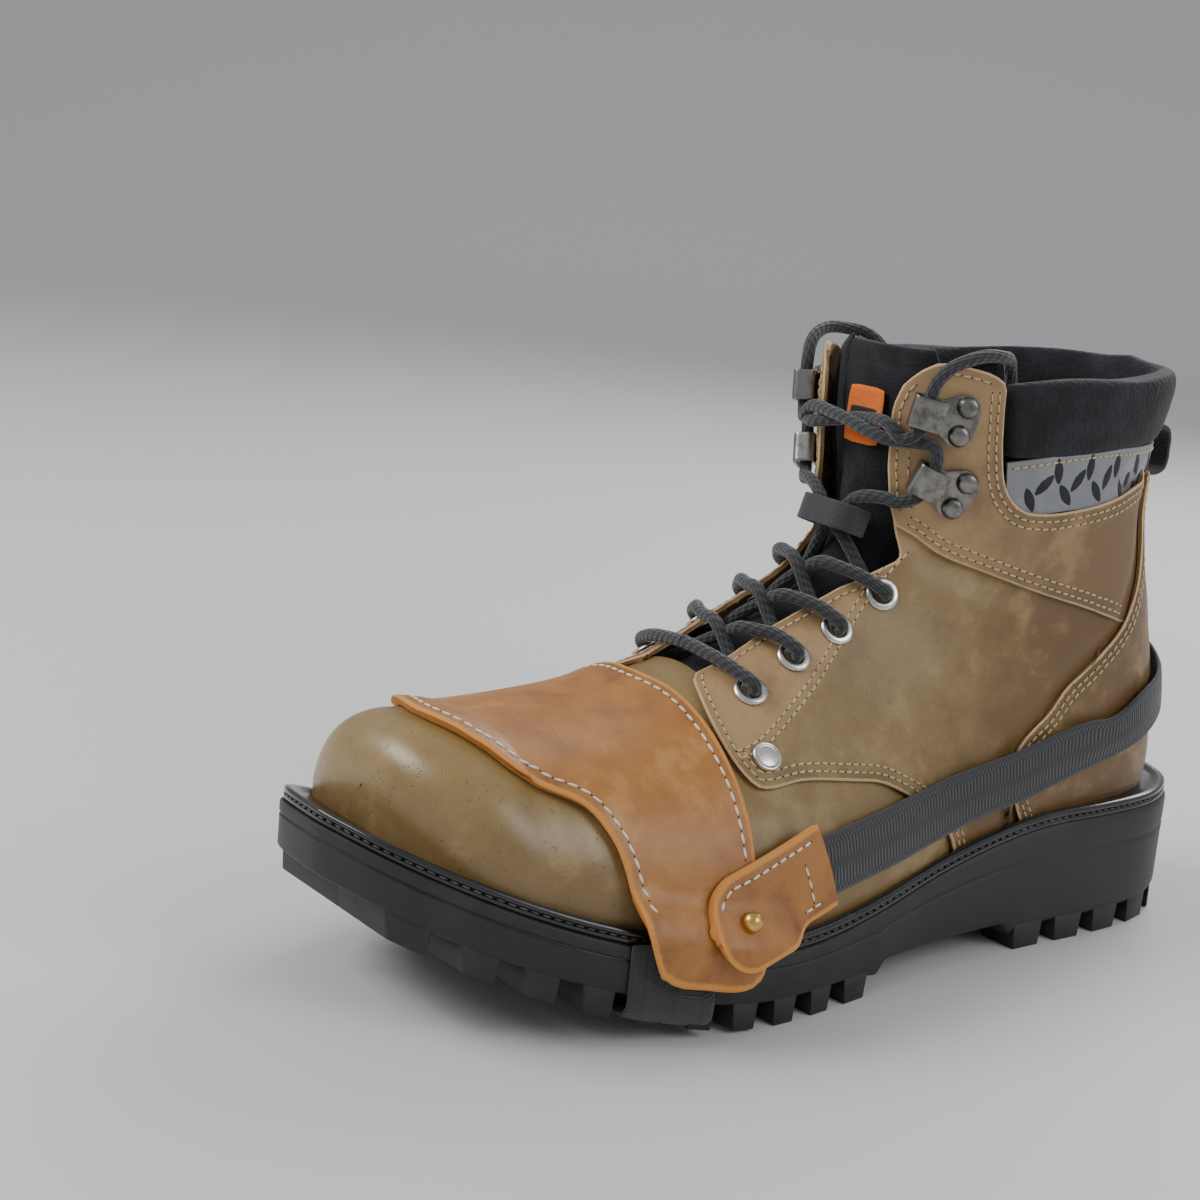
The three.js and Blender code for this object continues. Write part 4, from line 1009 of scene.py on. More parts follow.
def from_seam(side, seam):
    """How far side-view points are from a seam."""
    return nearest(np.insert(side, 2, 0, axis=1), np.insert(seam, 2, 0, axis=1))


TUCK, TUCK_REACH = 1.5, 9.0  # how deep a covered edge lies, and over how far it dips


def tucked(points, seam, beyond):
    """Depth of a panel that goes under its neighbour: it dips before the seam and stays down."""
    side = side_view(points)
    away = from_seam(side, seam)
    away[beyond(side)] = 0
    return -TUCK * (1 - smooth(away / TUCK_REACH))


def lifted(points, seam, lift=0.45, reach=7.0):
    """Depth of a panel's edge where it lies on its neighbour."""
    return lift * (1 - smooth(from_seam(side_view(points), seam) / reach))


# %% [markdown]
# ## Stitching
# One stitch is a short swollen bead of thread whose ends go down into needle holes. Each hole is a flat
# dark lens on the leather, painted shade of the hole. A stitch is modelled once, then set along a row:
# each copy finds the leather's face by a ray, so it follows every lift and dip of the panel under it.

# %% Stitches
def template(segments, rings, size):
    deselect()
    bpy.ops.mesh.primitive_uv_sphere_add(segments=segments, ring_count=rings, radius=0.5)
    piece = bpy.context.object
    piece.rotation_euler = (0, math.pi / 2, 0)
    place_in_mesh(piece)
    bulge = np.array([v.co for v in piece.data.vertices])
    faces = [list(polygon.vertices) for polygon in piece.data.polygons]
    bpy.data.objects.remove(piece)
    return bulge * np.array(size), faces


def inset(line, distance):
    """A chart line moved into the panel by a distance in millimetres, to the left of its run."""
    s, phi = line[:, 0], line[:, 1]
    e = 0.01
    here = on_last(s, phi)
    by_s = (on_last(s + e, phi) - here) / e
    by_phi = (on_last(s, phi + e) - here) / e
    run = np.gradient(here, axis=0)
    run /= np.linalg.norm(run, axis=1, keepdims=True) + 1e-12
    face = np.cross(by_phi, by_s)
    face /= np.linalg.norm(face, axis=1, keepdims=True) + 1e-12
    across = np.cross(face, run)
    moved = []
    for k in range(len(line)):
        share = np.linalg.lstsq(np.stack([by_s[k], by_phi[k]], -1), across[k] * distance, rcond=None)[0]
        moved.append(line[k] + share)
    return np.array(moved)


def seen(piece):
    bpy.context.view_layer.update()
    return BVHTree.FromObject(piece, bpy.context.evaluated_depsgraph_get())


def face_under(ground, spot, up):
    """Where a ray from 7 mm above the last meets a piece, and the way its face points there."""
    hit, face, _, _ = ground.ray_cast(Vector(to_frame(spot + up * 7)), Vector(-up), 0.016)
    return hit, face


def add_copy(points, faces, shape, place, axes, rise=0.0):
    """Adds one copy of a template at a place in metres, turned to three axes."""
    shape_points, shape_faces = shape
    base = len(points)
    x, y, z = axes
    placed = shape_points[:, 0:1] * x + shape_points[:, 1:2] * y + (shape_points[:, 2:3] + rise) * z
    points.extend((np.array(place) + placed * MM).tolist())
    faces.extend([[base + i for i in polygon] for polygon in shape_faces])


STITCH_START = 0.5  # from a row's end to its first hole
STITCH_SLANT = 0.09  # radians off the row


def sewn(name, on, rows, thread, body, pitch=2.9, stitch=2.35, width=0.72, side=1):
    """Rows of stitches on a panel. Each row is a chart line."""
    bead = template(6, 6, (stitch, width, width * 0.8))
    # a flat dark lens at each needle hole: painted shade of the hole
    dot = template(6, 4, (0.55, 0.62, 0.3))
    ground = seen(on)
    points, faces, paints = [], [], []
    for row in rows:
        line = row * np.array([1, side])
        path = on_last(line[:, 0], line[:, 1])
        total = lengths(path)[-1]
        count = max(int((total - 2 * STITCH_START) / pitch), 1)
        shares = (STITCH_START + pitch * (np.arange(2 * count + 1) / 2)) / total
        marks = walk(line, np.clip(shares, 0, 1), path)
        spots = on_last(marks[:, 0], marks[:, 1])
        ups = normal_at(marks[:, 0], marks[:, 1])
        runs = np.gradient(spots, axis=0)
        for k, (spot, up, run) in enumerate(zip(spots, ups, runs)):
            hit, face = face_under(ground, spot, up)
            if hit is None:
                continue
            z = np.array(face)
            x = run - z * run.dot(z)
            x /= np.linalg.norm(x) + 1e-12
            y = np.cross(z, x)
            if k % 2:
                c, s = math.cos(STITCH_SLANT), math.sin(STITCH_SLANT)
                add_copy(points, faces, bead, hit, (x * c + y * s, y * c - x * s, z), 0.1)
            else:
                add_copy(points, faces, dot, hit, (x, y, z), -0.04)
            paints.extend([1 - k % 2] * (len(faces) - len(paints)))
    piece = new_piece(name, points, faces, [thread, needle_hole_shade], body)
    piece.data.polygons.foreach_set("material_index", paints)
    print(name, "faces:", len(faces))


# %% [markdown]
# ## The vamp and toe
# One piece of soft leather is pulled over the steel cap from the toe to the throat. Here it is a
# sheet whose columns turn round the last from sole to sole. It dips where it goes under the
# quarters, as thick leather has to.

# %% Vamp
quarter_region = np.vstack([quarter_low, [[70, -26], [99, 59.5]], ankle_seam[::-1], [[-10, 110]]])
VAMP_END, VAMP_UNDER = 3.95, 2.2


def vamp_form(u, v):
    phi = (u * 2 - 1) * math.pi
    end = VAMP_END + VAMP_UNDER * smooth((np.abs(phi) - 0.42) / 0.7)
    s = np.where(v < 0.12, v / 0.12 * 0.4, 0.4 + (end - 0.4) * (v - 0.12) / 0.88)
    flat = on_last(s, phi)
    depth = tucked(flat, quarter_low, lambda side: inside(quarter_region, side))
    return lay(s, phi, depth)


vamp = formed("vamp_leather", 200, 110, vamp_form)
face_out(vamp)
flat = corners(vamp)
throat_line = lay(*np.stack([np.full(30, VAMP_END), np.linspace(-0.4, 0.4, 30)]), 0.0)
mark(vamp, "edge", distance_to(flat, [throat_line]))
thicken(vamp, 1.6)
settle(vamp, "root", toe_leather, ["vamp"])
print("vamp faces:", len(vamp.data.polygons))

# %% [markdown]
# ## Quarters
# The quarters carry the eyelets. Each is cut to a pale facing along the throat and turns olive
# behind the double row of stitches that runs up from the vamp rivet.

# %% Quarters
UNDER = 6.0  # how far a panel runs on under its neighbour
facing_line = side_line([(-48, 47), (-36, 51), (-14, 62), (6, 75.5), (22, 90)])
quarter_left = throat_edge(3.9, 8.35, 46)
quarter_top = np.vstack([quarter_left[-1:], to_chart(ankle_seam[24:] + np.array([0, UNDER]))])
front = to_chart(quarter_low[14:44])
front = np.vstack([quarter_left[:1], front])
low_edge = np.vstack([to_chart(quarter_low[44:]), to_chart([(50, -26), (68 + UNDER, -26)])])
rear = to_chart(counter_seam[:65] + np.array([UNDER, 0]))
rear = np.vstack([low_edge[-1:], rear[1:-1], quarter_top[-1:]])
quarter_bottom = np.vstack([front, low_edge])
quarter_sides = (quarter_bottom, rear, quarter_top, quarter_left)


def quarter_depth(points):
    under_panel = lambda side: (side[:, 1] > seam_height(ankle_seam, side[:, 0])) & (side[:, 0] > 12)
    under_counter = lambda side: side[:, 0] > np.interp(side[:, 1], counter_seam[:, 1], counter_seam[:, 0])
    depth = np.minimum(tucked(points, ankle_seam[10:], under_panel),
                       tucked(points, counter_seam, under_counter))
    return depth + lifted(points, quarter_low)


def facing_mask(points):
    side = side_view(points)
    return between_lines(side[:, 1] - np.interp(side[:, 0], facing_line[:, 0], facing_line[:, 1]), -2.5, 2.5)


facing_rows = to_chart(facing_line)
for label, side in SIDES:
    quarter = panel(f"quarter_leather_{label}", quarter_sides, (True, False, True, True), quarter_depth,
                    side=side, facing=facing_mask)
    settle(quarter, "root", quarter_leather, [f"quarter_{label}"])
    edge_run = quarter_bottom[:100]
    rows = [inset(quarter_left[2:-9], -2.6), inset(edge_run, 2.4), inset(edge_run[18:], 4.6),
            facing_rows, inset(facing_rows, 2.3)]
    sewn(f"quarter_stitches_{label}", quarter, rows, thread_cream, "root", side=side)
print("quarter faces:", len(quarter.data.polygons))

# %% [markdown]
# ## Hook panels, counter cover and collar band
# The hook panel lies over the quarter along the ankle seam. The counter cover goes round the
# heel over both, and its two front edges mirror each other, so its patch is drawn from one
# seam round the back of the last to the other. The reflective band lies under the hook panels.

# %% Hook panels
hook_left = throat_edge(8.13, 11.8)
hook_bottom = np.vstack([hook_left[:1], to_chart(ankle_seam[13:])])
hook_right = to_chart(counter_seam[64:] + np.array([UNDER, 0]))
hook_bottom = np.vstack([hook_bottom, hook_right[:1]])
hook_top = np.vstack([
    hook_left[-1:], to_chart(panel_top[19:]), to_chart(panel_rear[1:]), hook_right[-1:]])
hook_sides = (hook_bottom, hook_right, hook_top, hook_left)


def hook_depth(points):
    under_counter = lambda side: side[:, 0] > np.interp(side[:, 1], counter_seam[:, 1], counter_seam[:, 0])
    return (tucked(points, counter_seam[60:], under_counter) + lifted(points, ankle_seam)
            + lifted(points, panel_rear[16:], 0.35, 5.0))


def hook_facing(points):
    side = side_view(points)
    return 1 - between_lines(side[:, 0], 30, 52)


for label, side in SIDES:
    hook_panel = panel(f"hook_panel_leather_{label}", hook_sides, (True, False, True, True), hook_depth,
                       side=side, facing=hook_facing)
    settle(hook_panel, "root", panel_leather, [f"hook_panel_{label}"])
    rear_run = to_chart(panel_rear[2:])
    top_run = to_chart(panel_top[21:-3])
    seam_run = to_chart(ankle_seam[14:])
    rows = [inset(rear_run, -2.3), inset(rear_run, -4.6), inset(hook_left[2:-2], -2.6),
            inset(hook_left[2:-5], -6.0), inset(top_run, -2.6),
            inset(seam_run, 2.2), inset(seam_run, 4.5)]
    sewn(f"hook_panel_stitches_{label}", hook_panel, rows, thread_cream, "root", side=side)
print("hook panel faces:", len(hook_panel.data.polygons))

# %% Round the heel
def mirrored_run(line):
    other = line.copy()
    other[:, 1] = 2 * math.pi - other[:, 1]
    return other


def round_the_back(side_points, near, count):
    """From the lateral side to the medial side. near is how close to the back a point ends it."""
    chart = to_chart(side_points)
    end = np.argmax(chart[:, 1] > math.pi - near)
    chart = chart[:end + 1] if end else chart
    chart[-1, 1] = math.pi
    half = walk(chart, np.linspace(0, 1, count), on_last(chart[:, 0], chart[:, 1]))
    return np.vstack([half, mirrored_run(half[::-1][1:])])


def level_round(start, height):
    """Round the back at one height."""
    ys = np.linspace(start, 160, 400)
    return round_the_back(np.stack([ys, np.full(len(ys), height)], -1), 0.02, 31)


counter_left = to_chart(counter_seam)
counter_left[0, 1] = min(counter_left[0, 1], math.pi - 0.02)
counter_low = level_round(*counter_seam[0])
counter_top = level_round(counter_seam[-1, 0], 104)
counter_low[0], counter_low[-1] = counter_left[0], mirrored_run(counter_left)[0]
counter_top[0], counter_top[-1] = counter_left[-1], mirrored_run(counter_left)[-1]


def counter_depth(points):
    return lifted(points, counter_seam, 0.5, 8.0)


counter = panel("counter_cover_leather", (counter_low, mirrored_run(counter_left), counter_top, counter_left),
                (False, True, True, True), counter_depth, step=3.2)
settle(counter, "root", counter_leather, ["heel_counter_cover"])
seam_rows = [inset(counter_left[10:], -2.4), inset(counter_left[10:], -4.7)]
heel_rows = seam_rows + [row * np.array([1, -1]) for row in seam_rows] + [inset(counter_top, -2.4)]
sewn("counter_stitches", counter, heel_rows, thread_cream, "root")

band_low = level_round(46, 96.0)
band_top = level_round(42.5, 113.2)
band_left = np.linspace(band_low[0], band_top[0], 12)


def band_depth(points):
    """The cloth goes under the leather at its lower edge."""
    side = side_view(points)
    return -0.75 - 1.5 * smooth((106 - side[:, 1]) / 3) * smooth((side[:, 0] - 88) / 8)


band = panel("collar_band_cloth", (band_low, mirrored_run(band_left), band_top, band_left),
             (False, False, False, False), band_depth, thickness=0.9)
band_cloth = plain_cloth("band_cloth", colour(0.20, 0.205, 0.22), colour(0.30, 0.31, 0.33), 1500, 0.42, 0.25)
settle(band, "root", band_cloth, ["collar_band"])
binding = level_round(44, 111.3)
sewn("band_stitches", band, [binding], thread_cream, "root", pitch=2.6)

# %% Leaves on the band
leaf_ink = plain_cloth("leaf_ink", colour(0.012, 0.012, 0.014), colour(0.03, 0.03, 0.035), 1500, 0.6, 0.2)


LEAF_LENGTH = 8.2


def leaves():
    shape, shape_faces = template(8, 6, (LEAF_LENGTH, 3.3, 0.35))
    shape[:, 1] *= 1 - (2 * np.abs(shape[:, 0]) / LEAF_LENGTH) ** 2 * 0.4
    ground = seen(band)
    points, faces = [], []
    walkway = level_round(50, 104.5)
    path = on_last(walkway[:, 0], walkway[:, 1])
    count = int(lengths(path)[-1] / 4.2)
    for k in range(count):
        row = (-3.6, 0.4, 4.0)[k % 3]
        mark_at = walk(walkway, [(k + 0.5) / count], path)[0]
        spot = on_last(mark_at[0], mark_at[1])
        up = normal_at(mark_at[0], mark_at[1])
        level = np.cross(up, [0, 0, 1.0])
        level /= np.linalg.norm(level)
        rise = np.cross(level, up)
        spot = spot + rise * row
        hit, face = face_under(ground, spot, up)
        if hit is None:
            continue
        lean = math.radians((62, 118, 80)[k % 3] + 14 * math.sin(k * 1.7))
        x = level * math.cos(lean) + rise * math.sin(lean)
        z = np.array(face)
        add_copy(points, faces, (shape, shape_faces), hit, (x, np.cross(z, x), z))
    new_piece("band_leaves", points, faces, [leaf_ink], rounded=False)
    print("leaves:", count)


leaves()

# %% [markdown]
# ## The shift guard
# Thick leather with a raw orange edge lies over the vamp and swells out over the welt on both
# sides. One patch goes from its lateral hem over the ridge to the medial hem.

# %% Guard
SOLE_OUTLINE = np.array([
    [-155.6, 0, 0], [-153.5, 9, 19], [-146.5, 24, 31], [-133, 38, 41], [-112.5, 49.5, 49.5],
    [-87, 57.5, 54.5], [-61.5, 61.6, 55.6], [-36, 60.6, 53], [-5, 55, 47.5], [25.5, 48.5, 42.5],
    [61.5, 44.8, 41.4], [97, 43.4, 41.4], [123, 39.4, 38.4], [141.5, 29, 29], [150, 16, 16], [153.4, 0, 0]])
ELASTIC, GUARD_THICK, GUARD_GAP, WELT_HEIGHT = 1.6, 2.8, 0.35, 3.7
SOLE_OVERHANG = ELASTIC + 1.2


def half_width(y, side):
    lateral = np.interp(y, SOLE_OUTLINE[:, 0], SOLE_OUTLINE[:, 1])
    medial = np.interp(y, SOLE_OUTLINE[:, 0], SOLE_OUTLINE[:, 2])
    return np.where(side > 0, lateral, medial)


def flare_at(points):
    y = points[:, 1]
    height = points[:, 2] - sole_top_at(y)
    along = smooth((y + 104) / 12) * smooth((-38 - y) / 12)
    low = smooth((WELT_HEIGHT + 11 - height) / 10)
    reach = half_width(y, np.sign(points[:, 0])) + SOLE_OVERHANG - np.abs(points[:, 0])
    return np.maximum(reach, 0) * along * low


guard_front = side_line([(-127, 50), (-127, 38.5), (-121, 35.5), (-112, 31.5), (-101, 30), (-95.5, 25),
                         (-93, 19), (-91, 12), (-87, 1), (-84, -2.8)])
guard_hem = side_line([(-84, -2.8), (-78, -4), (-70, -4), (-62, -4), (-56.5, -2.5), (-54.5, 2)])
guard_rear = side_line([(-54.5, 2), (-55, 14), (-54, 27), (-53, 42), (-53, 57)])


def over_the_ridge(side_points, ridge_s):
    """A chart line from the lateral side over the ridge to the medial side."""
    lateral = to_chart(side_points)
    lateral = lateral[lateral[:, 1] > 0.34]
    cap = np.array([[ridge_s, 0.0]])
    curve = smooth_line(np.vstack([lateral[:-1:8], lateral[-1:], cap, (lateral[-1:] * [1, -1])]), 8)
    curve = curve[:np.argmin(np.abs(curve[:, 1])) + 1]
    curve[-1, 1] = 0.0
    medial = curve[::-1][1:] * np.array([1, -1])
    return np.vstack([curve, medial])


front_line = over_the_ridge(guard_front[::-1], 0.66)
rear_line = over_the_ridge(guard_rear, 3.33)
hem = to_chart(guard_hem)
front_line[0], front_line[-1] = hem[0], hem[0] * [1, -1]
rear_line[0], rear_line[-1] = hem[-1], hem[-1] * [1, -1]
print("guard front at the ridge:", on_last(front_line[len(front_line) // 2, 0], 0.0).round(1))


def guard_depth(points):
    return GUARD_GAP + GUARD_THICK + flare_at(points)


guard = panel("shift_guard_leather", (front_line, hem * [1, -1], rear_line, hem),
              (True, True, True, True), guard_depth, thickness=GUARD_THICK, step=2.4)
settle(guard, "root", guard_hide, ["shift_guard"])
guard_rows = [inset(front_line, -3.4), inset(rear_line[14:-14], 3.4), inset(hem[4:-4], 3.4),
              inset(hem[4:-4] * [1, -1], -3.4)]
sewn("guard_stitches", guard, guard_rows, thread_white, "root", pitch=3.6, stitch=2.9,
     width=0.85)

# %% [markdown]
# ## Sole
# The outsole is a moulded slab with a wall that follows the foot's outline, and lugs under it.
# The wall is one strip round the outline: its rows give the bead at the top, the step line and
# the bottom corner. Each lug is a tapered block cut from the same outline, so its face stays
# just behind the wall's.

# %% Outline and slab
ROUND = 240  # places round the outline
ARCH_RISE, LUG_DEPTH, NOTCH, FORE_PITCH, HEEL_PITCH = 9, 7, 5.5, 14.3, 18
FORE_END, HEEL_BREAST = -8, 61
loop_points = np.vstack([
    np.stack([SOLE_OUTLINE[:, 1], SOLE_OUTLINE[:, 0]], -1),
    np.stack([-SOLE_OUTLINE[1:-1, 2], SOLE_OUTLINE[1:-1, 0]], -1)[::-1]])
wrapped = np.vstack([loop_points[-2:], loop_points, loop_points[:3]])
sole_loop = smooth_line(wrapped, 16)[32:-32]
sole_loop = walk(sole_loop, np.linspace(0, 1, ROUND + 1)[:-1])


def loop_inset(distance):
    """The sole's outline moved inwards, anticlockwise."""
    run = np.roll(sole_loop, -1, axis=0) - np.roll(sole_loop, 1, axis=0)
    run /= np.linalg.norm(run, axis=1, keepdims=True)
    return sole_loop + np.stack([-run[:, 1], run[:, 0]], -1) * distance


def sole_bottom_at(y):
    up = smooth((y - FORE_END) / 9)
    down = smooth((HEEL_BREAST - y) / 5)
    return np.where(y < FORE_END, spring_at(y), ARCH_RISE * up * down)


def round_the_sole(name, rows, level_at):
    """A ring strip round the sole. rows are (inset, height) and level_at(y, height) gives z."""
    rings = [loop_inset(row[0]) for row in rows]

    def form(u, v):
        k = np.rint(v * (len(rows) - 1)).astype(int)
        i = np.rint(u * ROUND).astype(int) % ROUND
        flat = np.array([rings[a][b] for a, b in zip(k, i)])
        z = level_at(flat[:, 1], np.array([rows[a][1] for a in k]))
        return np.column_stack([flat, z])
    return formed(name, ROUND, len(rows) - 1, form)


def slab_floor_at(y):
    """The slab's underside: above the lugs, or the arch itself at the waist."""
    lugs = spring_at(y) + LUG_DEPTH
    heel = smooth((y - HEEL_BREAST + 6) / 7)
    waist = np.maximum(sole_bottom_at(y), 1.0)
    fore = 1 - smooth((y - FORE_END) / 8)
    return np.maximum(lugs * np.maximum(fore, heel), waist)


def slab_level(y, height):
    low, high = slab_floor_at(y), sole_top_at(y)
    return low + (high - low) * height


slab_rows = [(40, 0.02), (8, 0.0), (1.2, 0.0), (0.45, 0.03), (0.1, 0.07), (0.1, 0.6), (0.0, 0.66),
             (0.35, 0.68), (0.45, 0.70), (0.1, 0.73), (0.0, 0.77), (0.0, 0.92), (0.25, 0.97), (0.9, 1.0),
             (12, 1.0), (40, 0.97)]
slab = round_the_sole("outsole_slab", slab_rows, slab_level)
edit(slab)
bpy.ops.mesh.select_all(action="DESELECT")
bpy.ops.mesh.select_non_manifold()
bpy.ops.mesh.fill()
leave_edit()
outwards(slab)
print("slab faces:", len(slab.data.polygons))

# %% Lugs
LUG_TAPER = 0.9  # a lug's foot is this much shorter at each end


def lug(ring_outer, ring_inner, y_from, y_to, side):
    """A block under the slab between two outline lines, narrower at its foot."""
    deselect()
    bpy.ops.mesh.primitive_cube_add(size=2)
    block = bpy.context.object
    edit(block)
    bpy.ops.mesh.bevel(offset=0.09, segments=2, affect="EDGES")
    leave_edit()
    co = np.array([v.co for v in block.data.vertices])
    across, along, up = (co[:, 0] + 1) / 2, co[:, 1], (co[:, 2] + 1) / 2
    half = (y_to - y_from) / 2 - LUG_TAPER * (1 - up)
    y = (y_from + y_to) / 2 + along * half
    outer = np.interp(y, ring_outer[:, 1], ring_outer[:, 0])
    inner = np.interp(y, ring_inner[:, 1], ring_inner[:, 0])
    beyond = (y < ring_inner[0, 1]) | (y > ring_inner[-1, 1])
    inner = np.where(beyond, -0.6 * side, inner)
    x = inner + (outer - inner) * across
    low = sole_bottom_at(y)
    z = low + (slab_floor_at(y) + 1.2 - low) * up
    block.data.vertices.foreach_set("co", to_frame(np.column_stack([x, y, z])).ravel())
    return block


def side_of_loop(distance, side):
    ring = loop_inset(distance)
    part = ring[ring[:, 0] * side > 0]
    return part[np.argsort(part[:, 1])]


LUG_REACH, CHANNEL = 14, 3
blocks = []
notches = list(np.arange(-149, FORE_END - NOTCH, FORE_PITCH))
heel_notches = list(np.arange(HEEL_BREAST + HEEL_PITCH * 0.9, 138, HEEL_PITCH))
for cuts, start, end in ((notches, -154.5, FORE_END + 1), (heel_notches, HEEL_BREAST + 0.5, 152.3)):
    stops = [start] + [y + d for y in cuts for d in (-NOTCH / 2, NOTCH / 2)] + [end]
    for y_from, y_to in zip(stops[0::2], stops[1::2]):
        if y_to - y_from < 4:
            continue
        for side in (1, -1):
            blocks.append(lug(side_of_loop(0.35, side), side_of_loop(LUG_REACH, side), y_from, y_to, side))
for cuts, start, end in ((notches, -139, FORE_END - 5), (heel_notches, HEEL_BREAST + 6, 140)):
    middles = [start] + [y + FORE_PITCH / 2 + d for y in cuts for d in (-NOTCH / 2, NOTCH / 2)] + [end]
    for y_from, y_to in zip(middles[0::2], middles[1::2]):
        y_from, y_to = max(y_from, start), min(y_to, end)
        if y_to - y_from < 4 or min(half_width(y_from, 1), half_width(y_from, -1)) < LUG_REACH + CHANNEL + 9:
            continue
        blocks.append(lug(side_of_loop(LUG_REACH + CHANNEL, 1), side_of_loop(LUG_REACH + CHANNEL, -1),
                          y_from, y_to, 1))
outsole = join_copies("outsole_rubber", [slab] + blocks)
settle(outsole, "root", sole_rubber, ["outsole"], angle=35)
print("outsole:", len(blocks), "lugs,", len(outsole.data.polygons), "faces")

# %% Welt
def welt_level(y, height):
    return sole_top_at(y) + 0.15 + (WELT_HEIGHT + 0.2) * height


welt_rows = [(14, 0.0), (1.0, 0.0), (0.75, 0.12), (0.9, 0.3), (1.6, 0.36), (1.75, 0.42), (1.1, 0.5),
             (0.85, 0.62), (0.95, 0.78), (1.35, 0.92), (2.2, 1.0), (3.4, 0.97), (4.4, 0.8), (6, 0.72),
             (14, 0.7)]
welt = round_the_sole("welt_bead", welt_rows, welt_level)
face_out(welt)
settle(welt, "root", welt_rubber, ["welt"], angle=60)
welt_thread = rubber("welt_thread", colour(0.05, 0.046, 0.042), colour(0.16, 0.145, 0.125), 0.5, 0.7, 0.3)


def welt_stitches():
    """Stitches lie in the groove of the bead, 3.1 mm apart."""
    bead = template(6, 6, (2.3, 0.75, 0.6))
    ring = loop_inset(1.25)
    path = np.column_stack([ring, welt_level(ring[:, 1], 0.4)])
    path = np.vstack([path, path[:1]])
    count = int(lengths(path)[-1] / 3.1)
    spots = walk(path, np.arange(count) / count)
    runs = np.gradient(spots, axis=0)
    points, faces = [], []
    for spot, run in zip(spots, runs):
        x = run / np.linalg.norm(run)
        y = np.cross([0, 0, 1.0], x)
        add_copy(points, faces, bead, to_frame(spot), (x, y, np.cross(x, y)))
    new_piece("welt_stitches", points, faces, [welt_thread])
    print("welt stitches:", count)


welt_stitches()

# %% [markdown]
# ## Straps of the guard
# The elastic heel strap lies on the last in a long S from one tab round the heel to the other.
# The elastic under the sole goes from inside the guard's one hem, across the tread, to the other.

# %% Elastic
elastic_cloth = cloth("elastic_cloth", colour(0.007, 0.007, 0.008), colour(0.024, 0.024, 0.027), 12, 300, 0.0,
                      0.7, 0.0003)
STRAP_WIDTH = 15.5
STRAP_LIFT = 1.9  # clear of the stitches under it
strap_line = side_line([
    (-42, 17), (-30, 19.5), (0, 19.5), (26, 19), (70, 20.5), (95, 27.5), (116, 34.5), (165, 50)])


def strap_chart(offset):
    """One edge of the strap, eased over 25 places so that it doesn't follow every dip."""
    whole = round_the_back(strap_line + np.array([0, offset]), 0.03, 121)
    padded = np.vstack([np.repeat(whole[:1], 12, axis=0), whole, np.repeat(whole[-1:], 12, axis=0)])
    eased = np.stack([np.convolve(padded[:, k], np.ones(25) / 25, "valid") for k in (0, 1)], -1)
    share = smooth(np.minimum(np.arange(241), np.arange(241)[::-1]) / 60)[:, None]
    return whole * (1 - share) + eased * share


def strap_form(u, v):
    """A closed flat tube: u goes round its section and v along the strap."""
    across, proud = roll(2 * math.pi * u, 0.25, 0.6)
    share = ((across + 1) / 2)[:, None]
    chart = rows_at(strap_low, v * 240) * (1 - share) + rows_at(strap_high, v * 240) * share
    ribs = 0.07 * np.cos(across * math.pi * 7)
    return lay(chart[:, 0], chart[:, 1],
               STRAP_LIFT + ELASTIC / 2 + (ELASTIC / 2 * proud + ribs) * drawn_in(v))


strap_low, strap_high = strap_chart(-STRAP_WIDTH / 2), strap_chart(STRAP_WIDTH / 2)
strap = formed("heel_strap_elastic", 48, 240, strap_form)
outwards(strap)
settle(strap, "strap", elastic_cloth, ["heel_strap"], angle=60)

BAND_WIDTH = 25
BAND_GROOVE = ELASTIC + 0.7


def band_section():
    """The band's path across the boot, at its middle: up the lateral wall, under, up the medial."""
    y = BAND_CENTRE
    tread = float(spring_at(y)) + BAND_GROOVE - 0.3 - ELASTIC / 2
    top = float(sole_top_at(y)) + WELT_HEIGHT - 0.5
    walls = []
    for side in (1, -1):
        wall = float(half_width(y, side)) + 0.3 + ELASTIC / 2
        walls.append([(wall * side, top), (wall * side, top * 0.6), (wall * side, tread + 4),
                      ((wall - 1.4) * side, tread + 1.2), ((wall - 5) * side, tread),
                      (wall * 0.5 * side, tread)])
    path = walls[0] + [(0, tread)] + walls[1][::-1]
    return walk(smooth_line(path, 10), np.linspace(0, 1, 161))


def foot_band_form(u, v):
    across, proud = roll(2 * math.pi * u, 0.25, 0.6)
    path = rows_at(section, v * 160)
    y = BAND_CENTRE + across * (BAND_WIDTH / 2 - 0.2)
    side = np.sign(path[:, 0])
    x, z = (path + rows_at(section_out, v * 160) * (ELASTIC / 2 * proud * drawn_in(v))[:, None]).T
    widen = half_width(y, side) - half_width(np.full(len(y), BAND_CENTRE), side)
    x = x + side * widen * smooth(np.abs(path[:, 0]) / 50)
    z = z + (spring_at(y) - spring_at(BAND_CENTRE)) * (path[:, 1] < 14)
    return np.column_stack([x, y, z])


section = band_section()
section_run = np.gradient(section, axis=0)
section_out = np.stack([section_run[:, 1], -section_run[:, 0]], -1)
section_out /= np.linalg.norm(section_out, axis=1, keepdims=True)
section_out *= np.sign((section_out * (section - np.array([0, 25]))).sum(1, keepdims=True) + 1e-9)
foot_band = formed("foot_band_elastic", 40, 160, foot_band_form)
outwards(foot_band)
settle(foot_band, "root", elastic_cloth, ["underfoot_band"], angle=60)

# %% [markdown]
# ## Hardware
# Eyelets, rivets and studs are turned parts: a profile of (radius, height) swung round its axis.
# `place_on` gives a fastener's own axes on the last: across, away from the throat; along; and
# out of the leather. A lace hook is one bent sheet: a plate under two rivets, folded back over
# itself at the throat side so that the lace runs in the fold.

# %% Fastener helpers
EYELETS = [(4.3, 0.52), (5.14, 0.52), (5.98, 0.55), (7.02, 0.57)]
HOOKS = [(9.4, 0.72), (10.92, 0.71)]
VAMP_RIVET, STUD = (3.98, 0.84), (2.98, 1.54)
LACE, LACE_RADIUS = 3.8, 1.9


